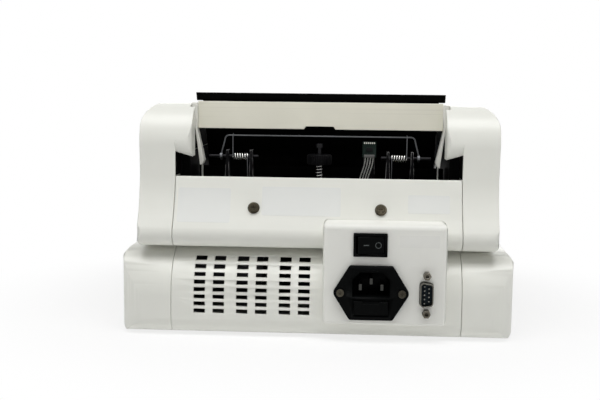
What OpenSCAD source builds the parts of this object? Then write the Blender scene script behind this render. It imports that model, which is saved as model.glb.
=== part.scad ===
// Desktop loose-note counter, seen from its rear side along +Y.
// X is to the right of that view, the rear faces -Y, the operator's side faces +Y, Z is up.
// The origin is on the table, in the middle of the outline.

/* [Base] */
// Width of the base
base_w = 262; // [246:1:290]
// Height of the base's top above the table
base_h = 58; // [54:1:62]
// How far the base's rear bulge lies behind the origin
base_rear = 106; // [102:1:109]
// Rounding of the base's lower rear edge
base_low_r = 11; // [8:1:22]
// Rounding of the base's upper rear edge
base_top_r = 32; // [12:1:34]
// Rounding of the base's front edges
base_front_r = 6; // [3:1:8]
// Rounding of the side caps' upper edge
base_side_r = 9; // [4:1:14]
// Rounding of the side caps' upright corners
base_corner_r = 16; // [6:1:22]
// Wall of the moulded casings
wall = 2.4; // [1.6:0.2:3.2]
// From the hopper's side blocks to the seams of the side caps
seam_room = 7.5; // [7.2:0.1:9]
// Gap at a seam between two casings
seam_gap = 0.3; // [0.2:0.1:0.8]
// How far the rear panel's and front panel's returns reach, measured from the origin
return_rear = 80; // [76:1:82]
// Place of the joint between the deck and the front panel
return_front = 88; // [84:1:92]
// Lean of the front panel, degrees
panel_tilt = 17; // [8:1:22]
// Height of the rubber feet
foot_h = 1; // [0.8:0.1:3]
// Radius of the rubber feet
foot_r = 8; // [5:1:10]
// Feet to the middle, sideways
foot_x = 109; // [106:1:112]
// Feet to the middle, front and back
foot_y = 72; // [50:1:80]

/* [Vents] */
// Length of a vent slot
vent_w = 7.7; // [4:0.1:9]
// Height of a vent slot
vent_h = 2.9; // [1.5:0.1:3.5]
// Height between vent rows
vent_pitch = 4.75; // [4:0.05:5.2]
// Rows of vents
vent_rows = 8; // [4:1:8]
// Distance between the two columns of a group
vent_column = 12.75; // [10:0.25:14]
// Distance between the groups
vent_group = 28.4; // [26:0.2:29]
// Middle of the vent field, left of the middle
vent_x = 42.4; // [40:0.2:44]
// Height of the vent field's middle
vent_z = 33.9; // [32:0.1:36]

/* [Head] */
// Width of the head
head_w = 242; // [232:1:254]
// Height of the head's top
head_top = 154.5; // [150:0.5:157]
// Shadow gap between head and base
head_gap = 0.6; // [0.3:0.1:1]
// Rear foot line of the head behind the origin, before rounding
head_toe = 108.2; // [106:0.2:109]
// Rounding of the head's lower rear bulge
bulge_r = 9; // [6:1:11]
// Waist of the head's hollow rear slope behind the origin, before rounding
waist_y = 92.4; // [91:0.2:94]
// Height of the waist
waist_z = 86; // [84:0.5:90]
// Hollow of the waist
waist_r = 80; // [40:5:90]
// Window sill behind the origin
sill_y = 87; // [84:0.5:88]
// Window sill height
sill_z = 105; // [98:0.5:108]
// Rounding of the head's upper rear edge
shoulder_r = 28; // [8:1:30]
// Rounding of the head's outer upper edge, as a share of a side cap's width
head_side_share = 0.65; // [0.3:0.01:0.8]
// Rounding of the head's rear corners as seen from above
head_corner_r = 6; // [4:1:16]
// How far the head's sides draw in towards its foot
head_tuck = 1.4; // [0:0.2:2]
// Front end of the head's top
crown_y = 40; // [34:1:44]
// Height of the head's top at its front end
crown_z = 151.5; // [148:0.5:153]
// Place of the head's front brow
brow_y = 98; // [90:1:100]
// Height of the head's front brow
brow_z = 84; // [76:1:90]
// Front foot of the head
head_front = 100; // [96:1:104]
// Radius of the rear cover screws' heads
cover_screw_r = 4; // [3:0.2:5]
// Rear cover screws to the middle
cover_screw_x = 42.3; // [36:0.1:50]
// Height of the rear cover screws
cover_screw_z = 85; // [82:0.5:92]

/* [Hopper] */
// Room for a cheek between the back rest and a side block of the hopper
cheek_room = 7.2; // [6.8:0.1:8]
// Underside of the hopper's side blocks
block_z = 121; // [120.5:0.5:126]
// How far the blocks' rear reaches in behind a cheek
block_toe = 3.2; // [2:0.1:3.2]
// How far the blocks' rear slopes down below the underside at its inner end
block_drop = 3.6; // [2:0.2:5]
// How far the blocks' rear rises above the underside at its outer end
block_rise = 1; // [0:0.2:2]
// How far the blocks stand back from the head's rear
block_set = 0.3; // [0.2:0.1:1]
// Rounding of the blocks' lower rear edge
block_low_r = 10; // [4:1:14]
// Rounding of the blocks' inner rear edge
block_edge_r = 4.5; // [2:0.5:6]
// Top of the hopper's back rest
lip_z = 161; // [158:0.5:168]
// Top of the back rest behind the origin
lip_y = 63; // [61:0.5:68]
// How far the lip reaches past the back rest at each end
lip_over = 4.5; // [3.6:0.1:5]
// Height of the lip's lower edge
lip_low = 155.4; // [155.2:0.1:156.4]
// Width of the back rest between the cheeks
rest_w = 162.6; // [150:0.2:176]
// Foot of the leaning back rest behind the origin
rest_foot_y = 33.5; // [32.5:0.5:35]
// Height of the back rest's foot
rest_foot_z = 108; // [104:0.5:110]
// Thickness of the back rest
rest_t = 2; // [1.4:0.1:2.2]
// Lower end of the back rest's upright skirt
skirt_z = 90; // [86:0.5:92]
// Lower edge of the hopper cover
cover_z0 = 136.4; // [134.5:0.2:138]
// Upper edge of the hopper cover
cover_z1 = 155; // [153:0.2:155]
// How far the hopper cover reaches past the back rest at each end
cover_over = 3; // [1:0.1:3.1]
// Thickness of the hopper cover
cover_t = 2; // [1.4:0.2:2.4]
// Width of the notch under the hopper cover
notch_w = 23; // [16:1:30]
// Height of the notch under the hopper cover
notch_h = 2; // [1:0.2:2.6]
// Height of the cheeks' tip
cheek_tip_z = 111; // [109:0.5:114]
// Thickness of a cheek at its top
cheek_top_t = 3.7; // [2.4:0.1:3.7]
// Thickness of a cheek at its tip
cheek_tip_t = 3.3; // [2:0.1:3.6]
// Lower end of the cheeks' thin tail
tail_z = 98.2; // [96.5:0.1:104]
// How far the cheeks' tips reach in past the ends of the back rest
cheek_in = 1.4; // [0.6:0.1:2]
// Front edge of the cheeks behind the origin
cheek_front = 57; // [54:0.5:59]
// Lower end of the feed tray, in front of the origin
tray_y0 = 4; // [2:0.5:6]
// Height of the feed tray's lower end
tray_z0 = 113; // [112:0.5:115]
// Upper end of the feed tray
tray_y1 = 44; // [42:0.5:45]
// Height of the feed tray's upper end
tray_z1 = 138; // [136:0.5:140]
// Thickness of the feed tray
tray_t = 2; // [1.4:0.2:2.6]

/* [Pressure gear] */
// Pivot shafts behind the origin
pivot_y = 60; // [59:0.5:61]
// Height of the pivot shafts
pivot_z = 117; // [115:0.5:118]
// Radius of the pivot shafts
pivot_r = 1.2; // [0.9:0.1:1.3]
// Inner end of the pivot shafts
pivot_in = 42.5; // [41:0.5:44]
// Outer ends of the pivot shafts to the ends of the back rest
pivot_clear = 4.3; // [3:0.1:8]
// Inner ears of the bracket, from the middle
ear_in = 47.3; // [46:0.1:47.6]
// Outer ears of the bracket, from the middle
ear_out = 64; // [63:0.1:65]
// Thickness of an ear at its top
ear_t = 1.6; // [1:0.1:2]
// Thickness of an ear at its root
ear_root_t = 3.6; // [2:0.1:4]
// Depth of an ear
ear_d = 8; // [6:0.5:9]
// Top of the bracket's web
web_z = 96; // [95:0.5:97]
// Thickness of the bracket's web
web_t = 2; // [1.4:0.1:2.4]
// Height of the bail's top bar
bail_z = 131.5; // [127:0.5:133]
// Half length of the bail's top bar
bail_half = 66; // [62:0.5:67]
// Place of the bail's eyes on the shafts
bail_foot = 68.5; // [67.6:0.1:70]
// Radius of the bail's wire
bail_wire_r = 0.6; // [0.4:0.1:0.8]
// Radius of the bail's eyes
bail_eye_r = 2.6; // [2.2:0.1:3]
// Bend of the bail's corners
bail_bend = 3; // [1.5:0.5:5]
// Inner end of a torsion spring's coil
spring_in = 50; // [49.6:0.1:51]
// Outer end of a torsion spring's coil
spring_out = 60.2; // [58:0.1:60.8]
// Middle radius of a torsion spring's coil
coil_r = 2.3; // [2.1:0.1:2.7]
// Wire diameter of the springs
spring_wire = 0.7; // [0.5:0.05:0.8]
// Turns of a torsion spring
spring_turns = 6; // [4:1:7]
// Radius of the adjusting knob
knob_r = 8.7; // [6:0.1:10]
// Underside of the adjusting knob
knob_z = 112; // [110:0.5:113]
// Height of the adjusting knob
knob_h = 7; // [5:0.5:8]
// Ribs on the adjusting knob's rim
knob_ribs = 24; // [12:1:30]
// Radius of the adjusting screw
screw_r = 1.5; // [1.2:0.1:1.7]
// Top of the adjusting screw's head
screw_top = 126.5; // [123:0.5:128]
// Radius of the adjusting screw's head
screw_head_r = 3; // [2.2:0.1:3.6]
// Height of the adjusting screw's head
screw_head_h = 3; // [2:0.2:4]
// Middle radius of the adjusting spring
adjust_coil_r = 2.5; // [2.4:0.1:3.4]
// Turns of the adjusting spring
adjust_turns = 7; // [5:1:8]
// Middle of the sensor board, from the middle
board_x = 34.5; // [33:0.5:36]
// Width of the sensor board
board_w = 9.5; // [7:0.5:10]
// Lower edge of the sensor board
board_z0 = 117; // [114:0.5:119]
// Upper edge of the sensor board
board_z1 = 128.2; // [126:0.2:130]
// Thickness of circuit boards
board_t = 1.6; // [1:0.2:2]
// Width of the ribbon cable
ribbon_w = 6.3; // [4:0.1:7]
// Thickness of the ribbon cable
ribbon_t = 0.9; // [0.8:0.1:1.2]
// Sideways run of the ribbon cable
ribbon_shift = 4.4; // [2:0.2:5]
// Half width of the separator block
separator_half = 20; // [14:1:24]
// Travel of the separator up and down
separator_travel = 0.5; // [0.2:0.1:0.6]

/* [Drive] */
// Thickness of the side frames
frame_t = 1.6; // [1:0.1:1.8]
// Rear edge of the side frames behind the origin
frame_rear = 70; // [69:0.5:74]
// Front edge of the side frames
frame_front = 60; // [56:0.5:60.5]
// Top of the side frames
frame_top = 119.6; // [118:0.2:120]
// Radius of the roller shafts
shaft_r = 4; // [3:0.1:4.4]
// Radial clearance of a shaft in its bush
running_fit = 0.05; // [0.02:0.01:0.09]
// Outer radius of a bush
bush_r = 6; // [5.4:0.1:6.6]
// Radius of a bush's flange
bush_flange_r = 8; // [7:0.1:9]
// Thickness of a bush's flange
bush_flange_t = 1.5; // [1:0.1:2]
// Feed shaft, behind the origin
feed_y = 12; // [11.5:0.1:12.5]
// Height of the feed shaft
feed_z = 94; // [93:0.1:95]
// Radius of the feed rollers
feed_roller_r = 17; // [15:0.1:17.2]
// Feed rollers from the middle
feed_roller_x = 22; // [16:0.5:23]
// Width of a feed roller
feed_roller_w = 16; // [8:0.5:16]
// Kicker shaft, in front of the origin
kicker_y = 24; // [23:0.1:25]
// Height of the kicker shaft
kicker_z = 110; // [109.4:0.1:110.6]
// Radius of the kicker rollers
kicker_roller_r = 15; // [13.5:0.1:15.4]
// Kicker rollers from the middle
kicker_x = 50; // [46:0.5:56]
// Width of a kicker roller
kicker_w = 12; // [6:0.5:14]
// Stacker shaft, in front of the origin
stacker_y = 24; // [23:0.1:25]
// Height of the stacker shaft
stacker_z = 78; // [77.6:0.1:79]
// Radius of the stacker wheels
stacker_r = 18; // [14:0.1:18.4]
// Stacker wheels from the middle
stacker_x = 30; // [24:0.5:36]
// Width of a stacker wheel
stacker_w = 6; // [3:0.5:8]
// Fingers on a stacker wheel
fingers = 8; // [5:1:10]
// Motor shaft, behind the origin
motor_y = 30; // [28:0.5:34]
// Height of the motor shaft
motor_z = 31; // [28:0.5:33]
// Radius of the motor
motor_r = 18; // [14:0.5:20]
// Length of the motor
motor_len = 48; // [36:1:60]
// Radius of the motor's shaft
motor_shaft_r = 2.5; // [1.5:0.1:3]
// Radius of the motor pulley
motor_pulley_r = 8; // [6:0.2:10]
// Radius of the driven pulley on the feed shaft
feed_pulley_r = 14; // [10:0.2:15]
// Radius of the timing pulleys on the feed and stacker shafts
timing_pulley_r = 11; // [9:0.2:12]
// Radius of the kicker pulley
kicker_pulley_r = 8.5; // [8:0.1:8.8]
// Thickness of the belts
belt_t = 1.4; // [1:0.1:1.8]
// Width of the belts
belt_w = 3; // [2:0.1:3.2]
// Clearance of the belts over the pulleys
belt_gap = 0.35; // [0.3:0.05:0.6]
// Radius of the cross rods between the frames
rod_r = 3; // [2:0.1:3.6]
// Rear cross rod, behind the origin
rear_rod_y = 50; // [46:0.5:54]
// Height of the rear cross rod
rear_rod_z = 72; // [68:0.5:76]
// Upper and lower front cross rods, in front of the origin
front_rod_y = 49; // [47:0.5:51]
// Height of the upper front cross rod
high_rod_z = 116; // [114:0.5:117]
// Height of the lower front cross rod
low_rod_z = 40; // [34:0.5:46]
// Length of the motor shaft inside the motor
motor_shaft_in = 13; // [8:0.5:20]
// Left edge of the main board, left of the middle
main_left = 30; // [20:1:34]
// Right edge of the main board to the side frame
main_clear = 6.8; // [3:0.1:12]
// Rear edge of the main board, behind the origin
main_rear = 20; // [10:1:30]
// Front edge of the main board, in front of the origin
main_front = 70; // [60:1:78]
// Height of the main board's pillars
main_pillar = 6; // [4:0.5:10]

/* [Front panel] */
// Width of the display window
display_w = 64; // [40:1:70]
// Height of the display window
display_h = 24; // [16:1:28]
// Middle of the display, sideways
display_x = 44; // [40:1:46]
// Middle of the display and keys, up the panel
panel_v = 28; // [24:1:32]
// Width of a key
key_w = 14; // [9:0.5:15]
// Height of a key
key_h = 10; // [7:0.5:14]
// Distance between keys
key_pitch = 19; // [18:0.5:21]
// Place of the first key, sideways
key_x = 9; // [4:0.5:12]
// Clearance round a key
key_gap = 0.4; // [0.3:0.1:0.6]
// Travel of a key
key_travel = 0.8; // [0.5:0.1:1.2]
// How far a key stands proud
key_proud = 1.6; // [1.4:0.1:2.4]

/* [Connector box] */
// Face of the connector box behind the origin
box_face = 113; // [111:0.5:118]
// Left side of the connector box
box_x0 = 5; // [4:0.5:7]
// Width of the connector box
box_w = 80; // [78:0.5:83]
// Underside of the connector box
box_z0 = 12; // [10:0.5:13]
// Top of the connector box
box_z1 = 78.5; // [76.5:0.5:80]
// Rounding of the connector box
box_r = 3; // [1:0.5:5]
// Rounding along the top of the connector box's face
box_brow_r = 4; // [1:0.5:5]
// Rounding along the other edges of the connector box's face
box_edge_r = 2; // [0.5:0.5:3]
// Depth of the connector box
box_depth = 27; // [25:0.5:29]
// Clearance round the connector box
box_gap = 0.2; // [0.2:0.1:0.6]
// Middle of the switch along the connector box, as a share of its width
switch_share = 0.38125; // [0.35:0.00125:0.42]
// Height of the switch
switch_z = 65; // [64.5:0.1:66]
// Width of the switch's bezel
bezel_w = 22; // [20:0.5:25]
// Height of the switch's bezel
bezel_h = 15.4; // [13:0.1:16]
// Thickness of the switch's bezel
bezel_t = 1.8; // [1.2:0.1:2.4]
// Depth of the switch's body
switch_depth = 16; // [12:0.5:20]
// Tilt of the rocker to either side, degrees
rocker_tilt = 7; // [4:0.5:8]
// Middle of the power inlet along the connector box, as a share of its width
inlet_share = 0.3925; // [0.37:0.0025:0.4]
// Height of the power inlet's screws
inlet_z = 33.7; // [33.2:0.1:35]
// Width of the inlet's flange over its tips
flange_w = 50; // [48:0.5:52]
// Height of the inlet's flange
flange_h = 35.6; // [34:0.2:36.4]
// Width of the inlet's flange along its upper edge
flange_top_w = 28; // [27.6:0.2:30]
// Thickness of the inlet's flange
flange_t = 3; // [2:0.2:4]
// Distance between the inlet's screws
inlet_screw_pitch = 40; // [39:0.1:40.4]
// Radius of the inlet's screw heads
inlet_screw_r = 2.5; // [2:0.1:2.9]
// Width of the inlet's socket
socket_w = 24.4; // [23:0.1:25]
// Height of the inlet's socket
socket_h = 16.2; // [15.6:0.1:16.8]
// Middle of the socket over the screws' height
socket_up = 5.6; // [5.2:0.1:6]
// Depth of the inlet's socket
socket_depth = 16; // [13:0.5:17]
// Depth of the inlet's housing behind the flange
housing_depth = 20; // [18.5:0.5:22]
// Width of the fuse drawer
drawer_w = 22; // [16:0.5:23]
// Height of the fuse drawer
drawer_h = 9; // [7:0.2:9.6]
// Middle of the fuse drawer under the screws' height
drawer_down = 9.8; // [9.6:0.1:10.2]
// Depth of the fuse drawer
drawer_depth = 15; // [10:0.5:16]
// Clearance round the fuse drawer
drawer_gap = 0.3; // [0.2:0.1:0.5]
// Middle of the serial port to the connector box's right side
serial_inset = 12.8; // [12:0.1:14]
// Height of the serial port
serial_z = 33.4; // [32:0.1:35]
// Length of the serial shell
serial_long = 16.9; // [16:0.1:18]
// Width of the serial shell
serial_wide = 8.4; // [8:0.1:9]
// How far the serial shell stands out of the face
serial_proud = 4.6; // [3:0.1:4.8]
// Wall of the serial shell
serial_wall = 0.6; // [0.4:0.1:0.8]
// Distance between pins in a row of the serial port
pin_pitch = 2.77; // [2.6:0.01:2.9]
// Radius of the serial port's pins
pin_r = 0.5; // [0.4:0.05:0.6]
// Distance between the jackscrews
jack_pitch = 24.99; // [24.2:0.01:26]
// Width of a jackscrew over its flats
jack_flats = 4.8; // [4:0.1:5.6]
// Length of a jackscrew
jack_len = 5; // [4.9:0.1:7]
// Radius of a jackscrew's thread hole
jack_hole_r = 1.25; // [1:0.05:1.5]

/* [Hidden] */
$fn = 48;
// Segments of a rounded corner and of a hull's circles
corner_steps = 12;
hull_fn = 32;
// Overshoot of a cut past the face it opens
cut = 1;
// Clearance between a piece and what it is pressed on or seated in
seat = 0.02;
// Clearance between a piece and the casing that locates it
slack = 0.3;
// Ends of the roller shafts to the side caps' seams
shaft_clear = 0.8;

// Sideways places, from the middle outwards
pivot_out = rest_w / 2 - pivot_clear;
block_x = rest_w / 2 + cheek_room;
frame_in = block_x + slack;
frame_out = frame_in + frame_t;
seam = block_x + seam_room;
half = seam - seam_gap / 2;
shaft_end = seam - shaft_clear;
lip_w = rest_w + 2 * lip_over;
cover_w = rest_w + 2 * cover_over;
head_side_r = head_side_share * (head_w / 2 - seam - seam_gap / 2);
box_x1 = box_x0 + box_w;
switch_x = box_x0 + switch_share * box_w;
inlet_x = box_x0 + inlet_share * box_w;
serial_x = box_x1 - serial_inset;

// Heights and depths
// Corner of the front panel's foot; its rounding then reaches as far forward as the jackscrews reach back
base_front = box_face + jack_len + base_front_r * (1 / tan(45 - panel_tilt / 2) - 1);
front_top = base_front - (base_h - foot_h) * tan(panel_tilt);
head_low = base_h + head_gap;
floor_z = foot_h + wall;
deck_z = base_h - wall;

// Hollow of the head's rear slope: its leans above and below the waist, and its centre
lean_up = atan((waist_y - sill_y) / (sill_z - waist_z));
lean_down = atan((head_toe - waist_y) / (waist_z - head_low));
waist_run = waist_r * tan((lean_down - lean_up) / 2);
// Rear end of the rounded bulge
bulge_rear = head_toe - bulge_r * (1 / tan(45 - lean_down / 2) - 1);
waist_mid = [
  waist_run * sin(lean_up) - waist_r * cos(lean_up) - waist_y,
  waist_run * cos(lean_up) + waist_r * sin(lean_up) + waist_z
];
// Lean and place of the slope at the cover screws, whose heads bridge the hollow
cover_slope = asin((waist_mid[1] - cover_screw_z) / waist_r);
cover_screw_y = waist_mid[0] + waist_r * cos(cover_slope);
cover_screw_lift = waist_r - sqrt(pow(waist_r, 2) - pow(cover_screw_r, 2));

// Outlines in the YZ plane, anticlockwise, with the rounding of each corner
base_outline = [[-base_rear, foot_h], [base_front, foot_h], [front_top, base_h], [-base_rear, base_h]];
base_radii = [
  base_low_r, base_front_r, base_front_r, min(base_top_r, base_h - foot_h - base_low_r - seam_gap)
];
head_outline = [
  [-head_toe, head_low], [head_front, head_low], [brow_y, brow_z],
  [crown_y, crown_z], [-sill_y, head_top], [-sill_y, sill_z], [-waist_y, waist_z]
];
// A hollow corner's radius is negative
head_radii = [bulge_r, 3, 14, 25, shoulder_r, 0, -waist_r];

// Outline of the connector box in the XZ plane
box_outline = rect([box_x0, box_z0], [box_x1, box_z1]);
box_radii = [box_r, box_r, box_r, box_r];

function unit(v) = v / norm(v);
function left_of(v) = [-v[1], v[0]];
function shrink(radii, d) = [for (r = radii) r > 0 ? max(r - d, 0.4) : r < 0 ? r - d : 0];

// Moves every edge of an anticlockwise outline inwards by d
function inset(points, d) = [
  for (i = [0 : len(points) - 1])
    let (
      n = len(points),
      before = left_of(unit(points[i] - points[(i + n - 1) % n])),
      after = left_of(unit(points[(i + 1) % n] - points[i]))
    )
    points[i] + (before + after) * d / (1 + before * after)
];

// Points of the arc that rounds corner b, between its neighbours a and c
function corner_arc(a, b, c, r) =
  let (
    u = unit(a - b),
    v = unit(c - b),
    half_angle = acos(u * v) / 2,
    middle = b + unit(u + v) * r / sin(half_angle),
    from = b + u * r / tan(half_angle) - middle,
    to = b + v * r / tan(half_angle) - middle,
    start = atan2(from[1], from[0]),
    turn = (atan2(to[1], to[0]) - start + 900) % 360 - 180
  )
  [
    for (i = [0 : corner_steps])
      let (angle = start + turn * i / corner_steps)
      middle + r * [cos(angle), sin(angle)]
  ];

function rounded(points, radii) = [
  for (i = [0 : len(points) - 1])
    let (n = len(points))
    each radii[i] != 0
      ? corner_arc(points[(i + n - 1) % n], points[i], points[(i + 1) % n], abs(radii[i]))
      : [points[i]]
];

// Rectangle between two corners, as an anticlockwise outline
function rect(low, high) = [low, [high[0], low[1]], high, [low[0], high[1]]];

// Tube of six sides swept along a path whose run is never parallel to the given axis
function tube_points(path, axis, r) = [
  for (i = [0 : len(path) - 1])
    let (
      run = unit(path[min(i + 1, len(path) - 1)] - path[max(i - 1, 0)]),
      side = unit(cross(axis, run)),
      up = cross(run, side)
    )
    for (k = [0 : 5]) path[i] + r * (cos(60 * k) * side + sin(60 * k) * up)
];
function tube_faces(n) = concat(
  [[0, 1, 2], [0, 2, 3], [0, 3, 4], [0, 4, 5]],
  [for (i = [0 : n - 2]) for (k = [0 : 5]) [6 * i + k, 6 * i + 6 + k, 6 * i + (k + 1) % 6]],
  [for (i = [0 : n - 2]) for (k = [0 : 5]) [6 * i + (k + 1) % 6, 6 * i + 6 + k, 6 * i + 6 + (k + 1) % 6]],
  [for (k = [1 : 4]) [6 * n - 6, 6 * n - 6 + k + 1, 6 * n - 6 + k]]
);
// Least gap between the wires of neighbouring turns, from points one turn apart
function least_gap(path, first, last, step, d) =
  min([for (i = [first : last - step]) norm(path[i + step] - path[i])]) - d;

module tube(path, axis, r) {
  polyhedron(tube_points(path, axis, r), tube_faces(len(path)), convexity = 10);
}

module along_x(x0, x1) {
  translate([x0, 0, 0]) rotate([90, 0, 90]) linear_extrude(x1 - x0) children();
}

module along_y(y0, y1) {
  translate([0, y1, 0]) rotate([90, 0, 0]) linear_extrude(y1 - y0) children();
}

module rod_x(x0, x1, y, z, r) {
  translate([x0, y, z]) rotate([0, 90, 0]) cylinder(h = x1 - x0, r = r);
}

module rod_y(y0, y1, x, z, r) {
  translate([x, y1, z]) rotate([90, 0, 0]) cylinder(h = y1 - y0, r = r);
}

module block(low, high) {
  translate(low) cube(high - low);
}

module both_sides() {
  children();
  mirror([1, 0, 0]) children();
}

// Cross recess of a screw head, cut along its own axis
module cross_recess(r, depth) {
  for (turn = [0, 90])
    rotate([0, 0, turn]) translate([-r * 0.6, -r * 0.11, -depth]) cube([r * 1.2, r * 0.22, depth + cut]);
}

// Wall between an outline and its inset, in the YZ plane
module casing_wall(outline, radii) {
  difference() {
    polygon(rounded(outline, radii));
    polygon(rounded(inset(outline, wall), shrink(radii, wall)));
  }
}

// The base's form inside its outer skin by d, from x0 to the right
module base_form(d, x0) {
  side = base_w / 2 - d;
  intersection() {
    along_x(x0, side) polygon(rounded(inset(base_outline, d), shrink(base_radii, d)));
    linear_extrude(base_h) polygon(rounded(
      rect([x0, -base_rear + d], [side, base_front - d]), [0, base_corner_r - d, base_corner_r - d, 0]));
    along_y(-base_rear, base_front) polygon(rounded(
      rect([x0, foot_h + d], [side, base_h - d]), [0, base_front_r - d, base_side_r - d, 0]));
  }
}

module base_cap() {
  difference() {
    base_form(0, seam + seam_gap / 2);
    base_form(wall, seam - cut);
  }
}

module base_cap_right() {
  color("whitesmoke") base_cap();
}

module base_cap_left() {
  color("whitesmoke") mirror([1, 0, 0]) base_cap();
}

module base_tray() {
  color("gainsboro")
    block([-half, -return_rear + seam_gap, foot_h], [half, return_front - seam_gap, floor_z]);
}

// Room that the connector box needs in the panels behind it
module box_room() {
  along_y(-base_rear - box_depth, -return_rear + cut)
    polygon(rounded(inset(box_outline, -box_gap), shrink(box_radii, -box_gap)));
}

module vent_slots() {
  for (group = [-1 : 1], column = [-0.5, 0.5], row = [0 : vent_rows - 1])
    translate([
      -vent_x + group * vent_group + column * vent_column,
      -base_rear,
      vent_z + (row - (vent_rows - 1) / 2) * vent_pitch
    ]) cube([vent_w, 2 * (base_rear - return_rear), vent_h], center = true);
}

module base_rear_panel() {
  color("whitesmoke") difference() {
    along_x(-half, half) intersection() {
      casing_wall(base_outline, base_radii);
      translate([-base_rear - cut, 0]) square([base_rear - return_rear + cut, base_h]);
    }
    box_room();
    vent_slots();
  }
}

module top_deck() {
  inner = frame_in - 0.5;
  color("whitesmoke") {
    block([-inner, -return_rear + seam_gap, deck_z], [inner, return_front - seam_gap, base_h]);
    for (side = [-1, 1]) {
      block(
        [side < 0 ? -half : inner - cut, frame_front + seam_gap, deck_z],
        [side < 0 ? -inner + cut : half, return_front - seam_gap, base_h]);
      block(
        [side < 0 ? -half : inner - cut, -return_rear + seam_gap, deck_z],
        [side < 0 ? -inner + cut : half, -frame_rear - seam_gap, base_h]);
    }
  }
}

module rubber_feet() {
  color("dimgray") for (x = [-foot_x, foot_x], y = [-foot_y, foot_y])
    translate([x, y, 0]) cylinder(h = foot_h, r = foot_r);
}

// Place on the rear cover's slope, with z pointing out of it
module on_cover(x) {
  translate([x, cover_screw_y, cover_screw_z]) rotate([90 - cover_slope, 0, 0])
    translate([0, 0, cover_screw_lift]) children();
}

module rear_cover() {
  color("whitesmoke") difference() {
    along_x(-half, half) intersection() {
      casing_wall(head_outline, head_radii);
      translate([-head_toe, 0]) square([head_toe - frame_rear - seam_gap, sill_z]);
    }
    box_room();
    for (x = [-cover_screw_x, cover_screw_x])
      on_cover(x) translate([0, 0, -2 * wall]) cylinder(h = 3 * wall, r = cover_screw_r * 0.45 + 0.2);
  }
}

module cover_screws() {
  color("saddlebrown") for (x = [-cover_screw_x, cover_screw_x])
    on_cover(x) difference() {
      union() {
        cylinder(h = 0.7, r = cover_screw_r);
        cylinder(h = 2, r = cover_screw_r * 0.8);
        translate([0, 0, -3 * wall]) cylinder(h = 3 * wall + 0.5, r = cover_screw_r * 0.45);
      }
      translate([0, 0, 2]) cross_recess(cover_screw_r * 0.75, 1.2);
    }
}

// The head's form inside its outer skin by d, from x0 to the right
module head_form(d, x0) {
  side = head_w / 2 - d;
  intersection() {
    along_x(x0, side) polygon(rounded(inset(head_outline, d), shrink(head_radii, d)));
    along_y(-head_toe, head_front) polygon(rounded([
      [x0, head_low + d], [side - head_tuck, head_low + d], [side, head_top - d], [x0, head_top - d]
    ], [0, 3 - d, head_side_r - d, 0]));
    linear_extrude(head_top) polygon(rounded(
      rect([x0, -bulge_rear + d], [side, head_front]), [0, head_corner_r - d, 0, 0]));
  }
}

// A side block of the hopper; its rear reaches in behind a cheek, rounded, and slopes below
module side_block(inner) {
  rear = sill_y - block_set;
  front = frame_rear + seam_gap;
  tip = block_x - block_toe;
  intersection() {
    along_x(tip, inner + cut) polygon(rounded(head_outline, head_radii));
    union() {
      block([block_x, -front - cut, block_z], [inner + 2 * cut, tray_y1, head_top + cut]);
      intersection() {
        along_x(tip - cut, inner + 2 * cut) polygon(rounded(
          rect([-rear, block_z - block_drop], [-front, head_top + cut]), [block_low_r, 0, 0, 0]));
        along_y(-rear - cut, -front + cut) polygon([
          [tip - cut, block_z - block_drop], [inner + 2 * cut, block_z + block_rise],
          [inner + 2 * cut, head_top + 2 * cut], [tip - cut, head_top + 2 * cut]
        ]);
        linear_extrude(head_top + 3 * cut) polygon(rounded(
          rect([tip, -rear], [inner + 3 * cut, -front + 2 * cut]), [block_edge_r, 0, 0, 0]));
      }
    }
  }
}

module head_cap() {
  inner = seam + seam_gap / 2;
  difference() {
    head_form(0, inner);
    head_form(wall, inner + wall);
    block(
      [inner + wall, -return_rear, head_low - cut],
      [head_w / 2 - 2 * wall, return_rear, head_low + wall + cut]);
  }
  side_block(inner);
}

module head_cap_right() {
  color("whitesmoke") head_cap();
}

module head_cap_left() {
  color("whitesmoke") mirror([1, 0, 0]) head_cap();
}

module front_fascia() {
  front = frame_front + 3.5;
  top = [[front, tray_z1 - 12], [tray_y1 + 2, tray_z1 + 2]];
  color("whitesmoke") along_x(-half, half) polygon([
    [front, sill_z - 3], top[0], top[1],
    top[1] - [0, 1.25 * wall], top[0] - [wall, 0.6 * wall], [front - wall, sill_z - 3]
  ]);
}

// Place on the front panel: x to the operator's right, y up the slope, z out of it
module on_panel() {
  translate([0, base_front, foot_h]) rotate([90 - panel_tilt, 0, 180]) children();
}

module key_at(i) {
  translate([key_x + i * key_pitch, panel_v, 0]) children();
}

module control_panel() {
  color("whitesmoke") difference() {
    along_x(-half, half) intersection() {
      casing_wall(base_outline, base_radii);
      translate([return_front, 0]) square([base_front, base_h]);
    }
    on_panel() {
      translate([-display_x, panel_v, 0]) cube([display_w, display_h, 3 * wall], center = true);
      for (i = [0 : 3])
        key_at(i) cube([key_w + 2 * key_gap, key_h + 2 * key_gap, 3 * wall], center = true);
    }
  }
}

// Window of the display, sunk in the panel, with a rim behind the panel's wall
lens_sunk = 0.3;
lens_rim = 2;
lens_rim_t = 1.4;
module display_lens() {
  color([0.1, 0.12, 0.16, 0.8]) on_panel() translate([-display_x, panel_v, 0]) {
    block(
      [-display_w / 2 + slack, -display_h / 2 + slack, -wall - cut],
      [display_w / 2 - slack, display_h / 2 - slack, -lens_sunk]);
    block(
      [-display_w / 2 - lens_rim, -display_h / 2 - lens_rim, -wall - lens_rim_t],
      [display_w / 2 + lens_rim, display_h / 2 + lens_rim, -wall]);
  }
}

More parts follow.
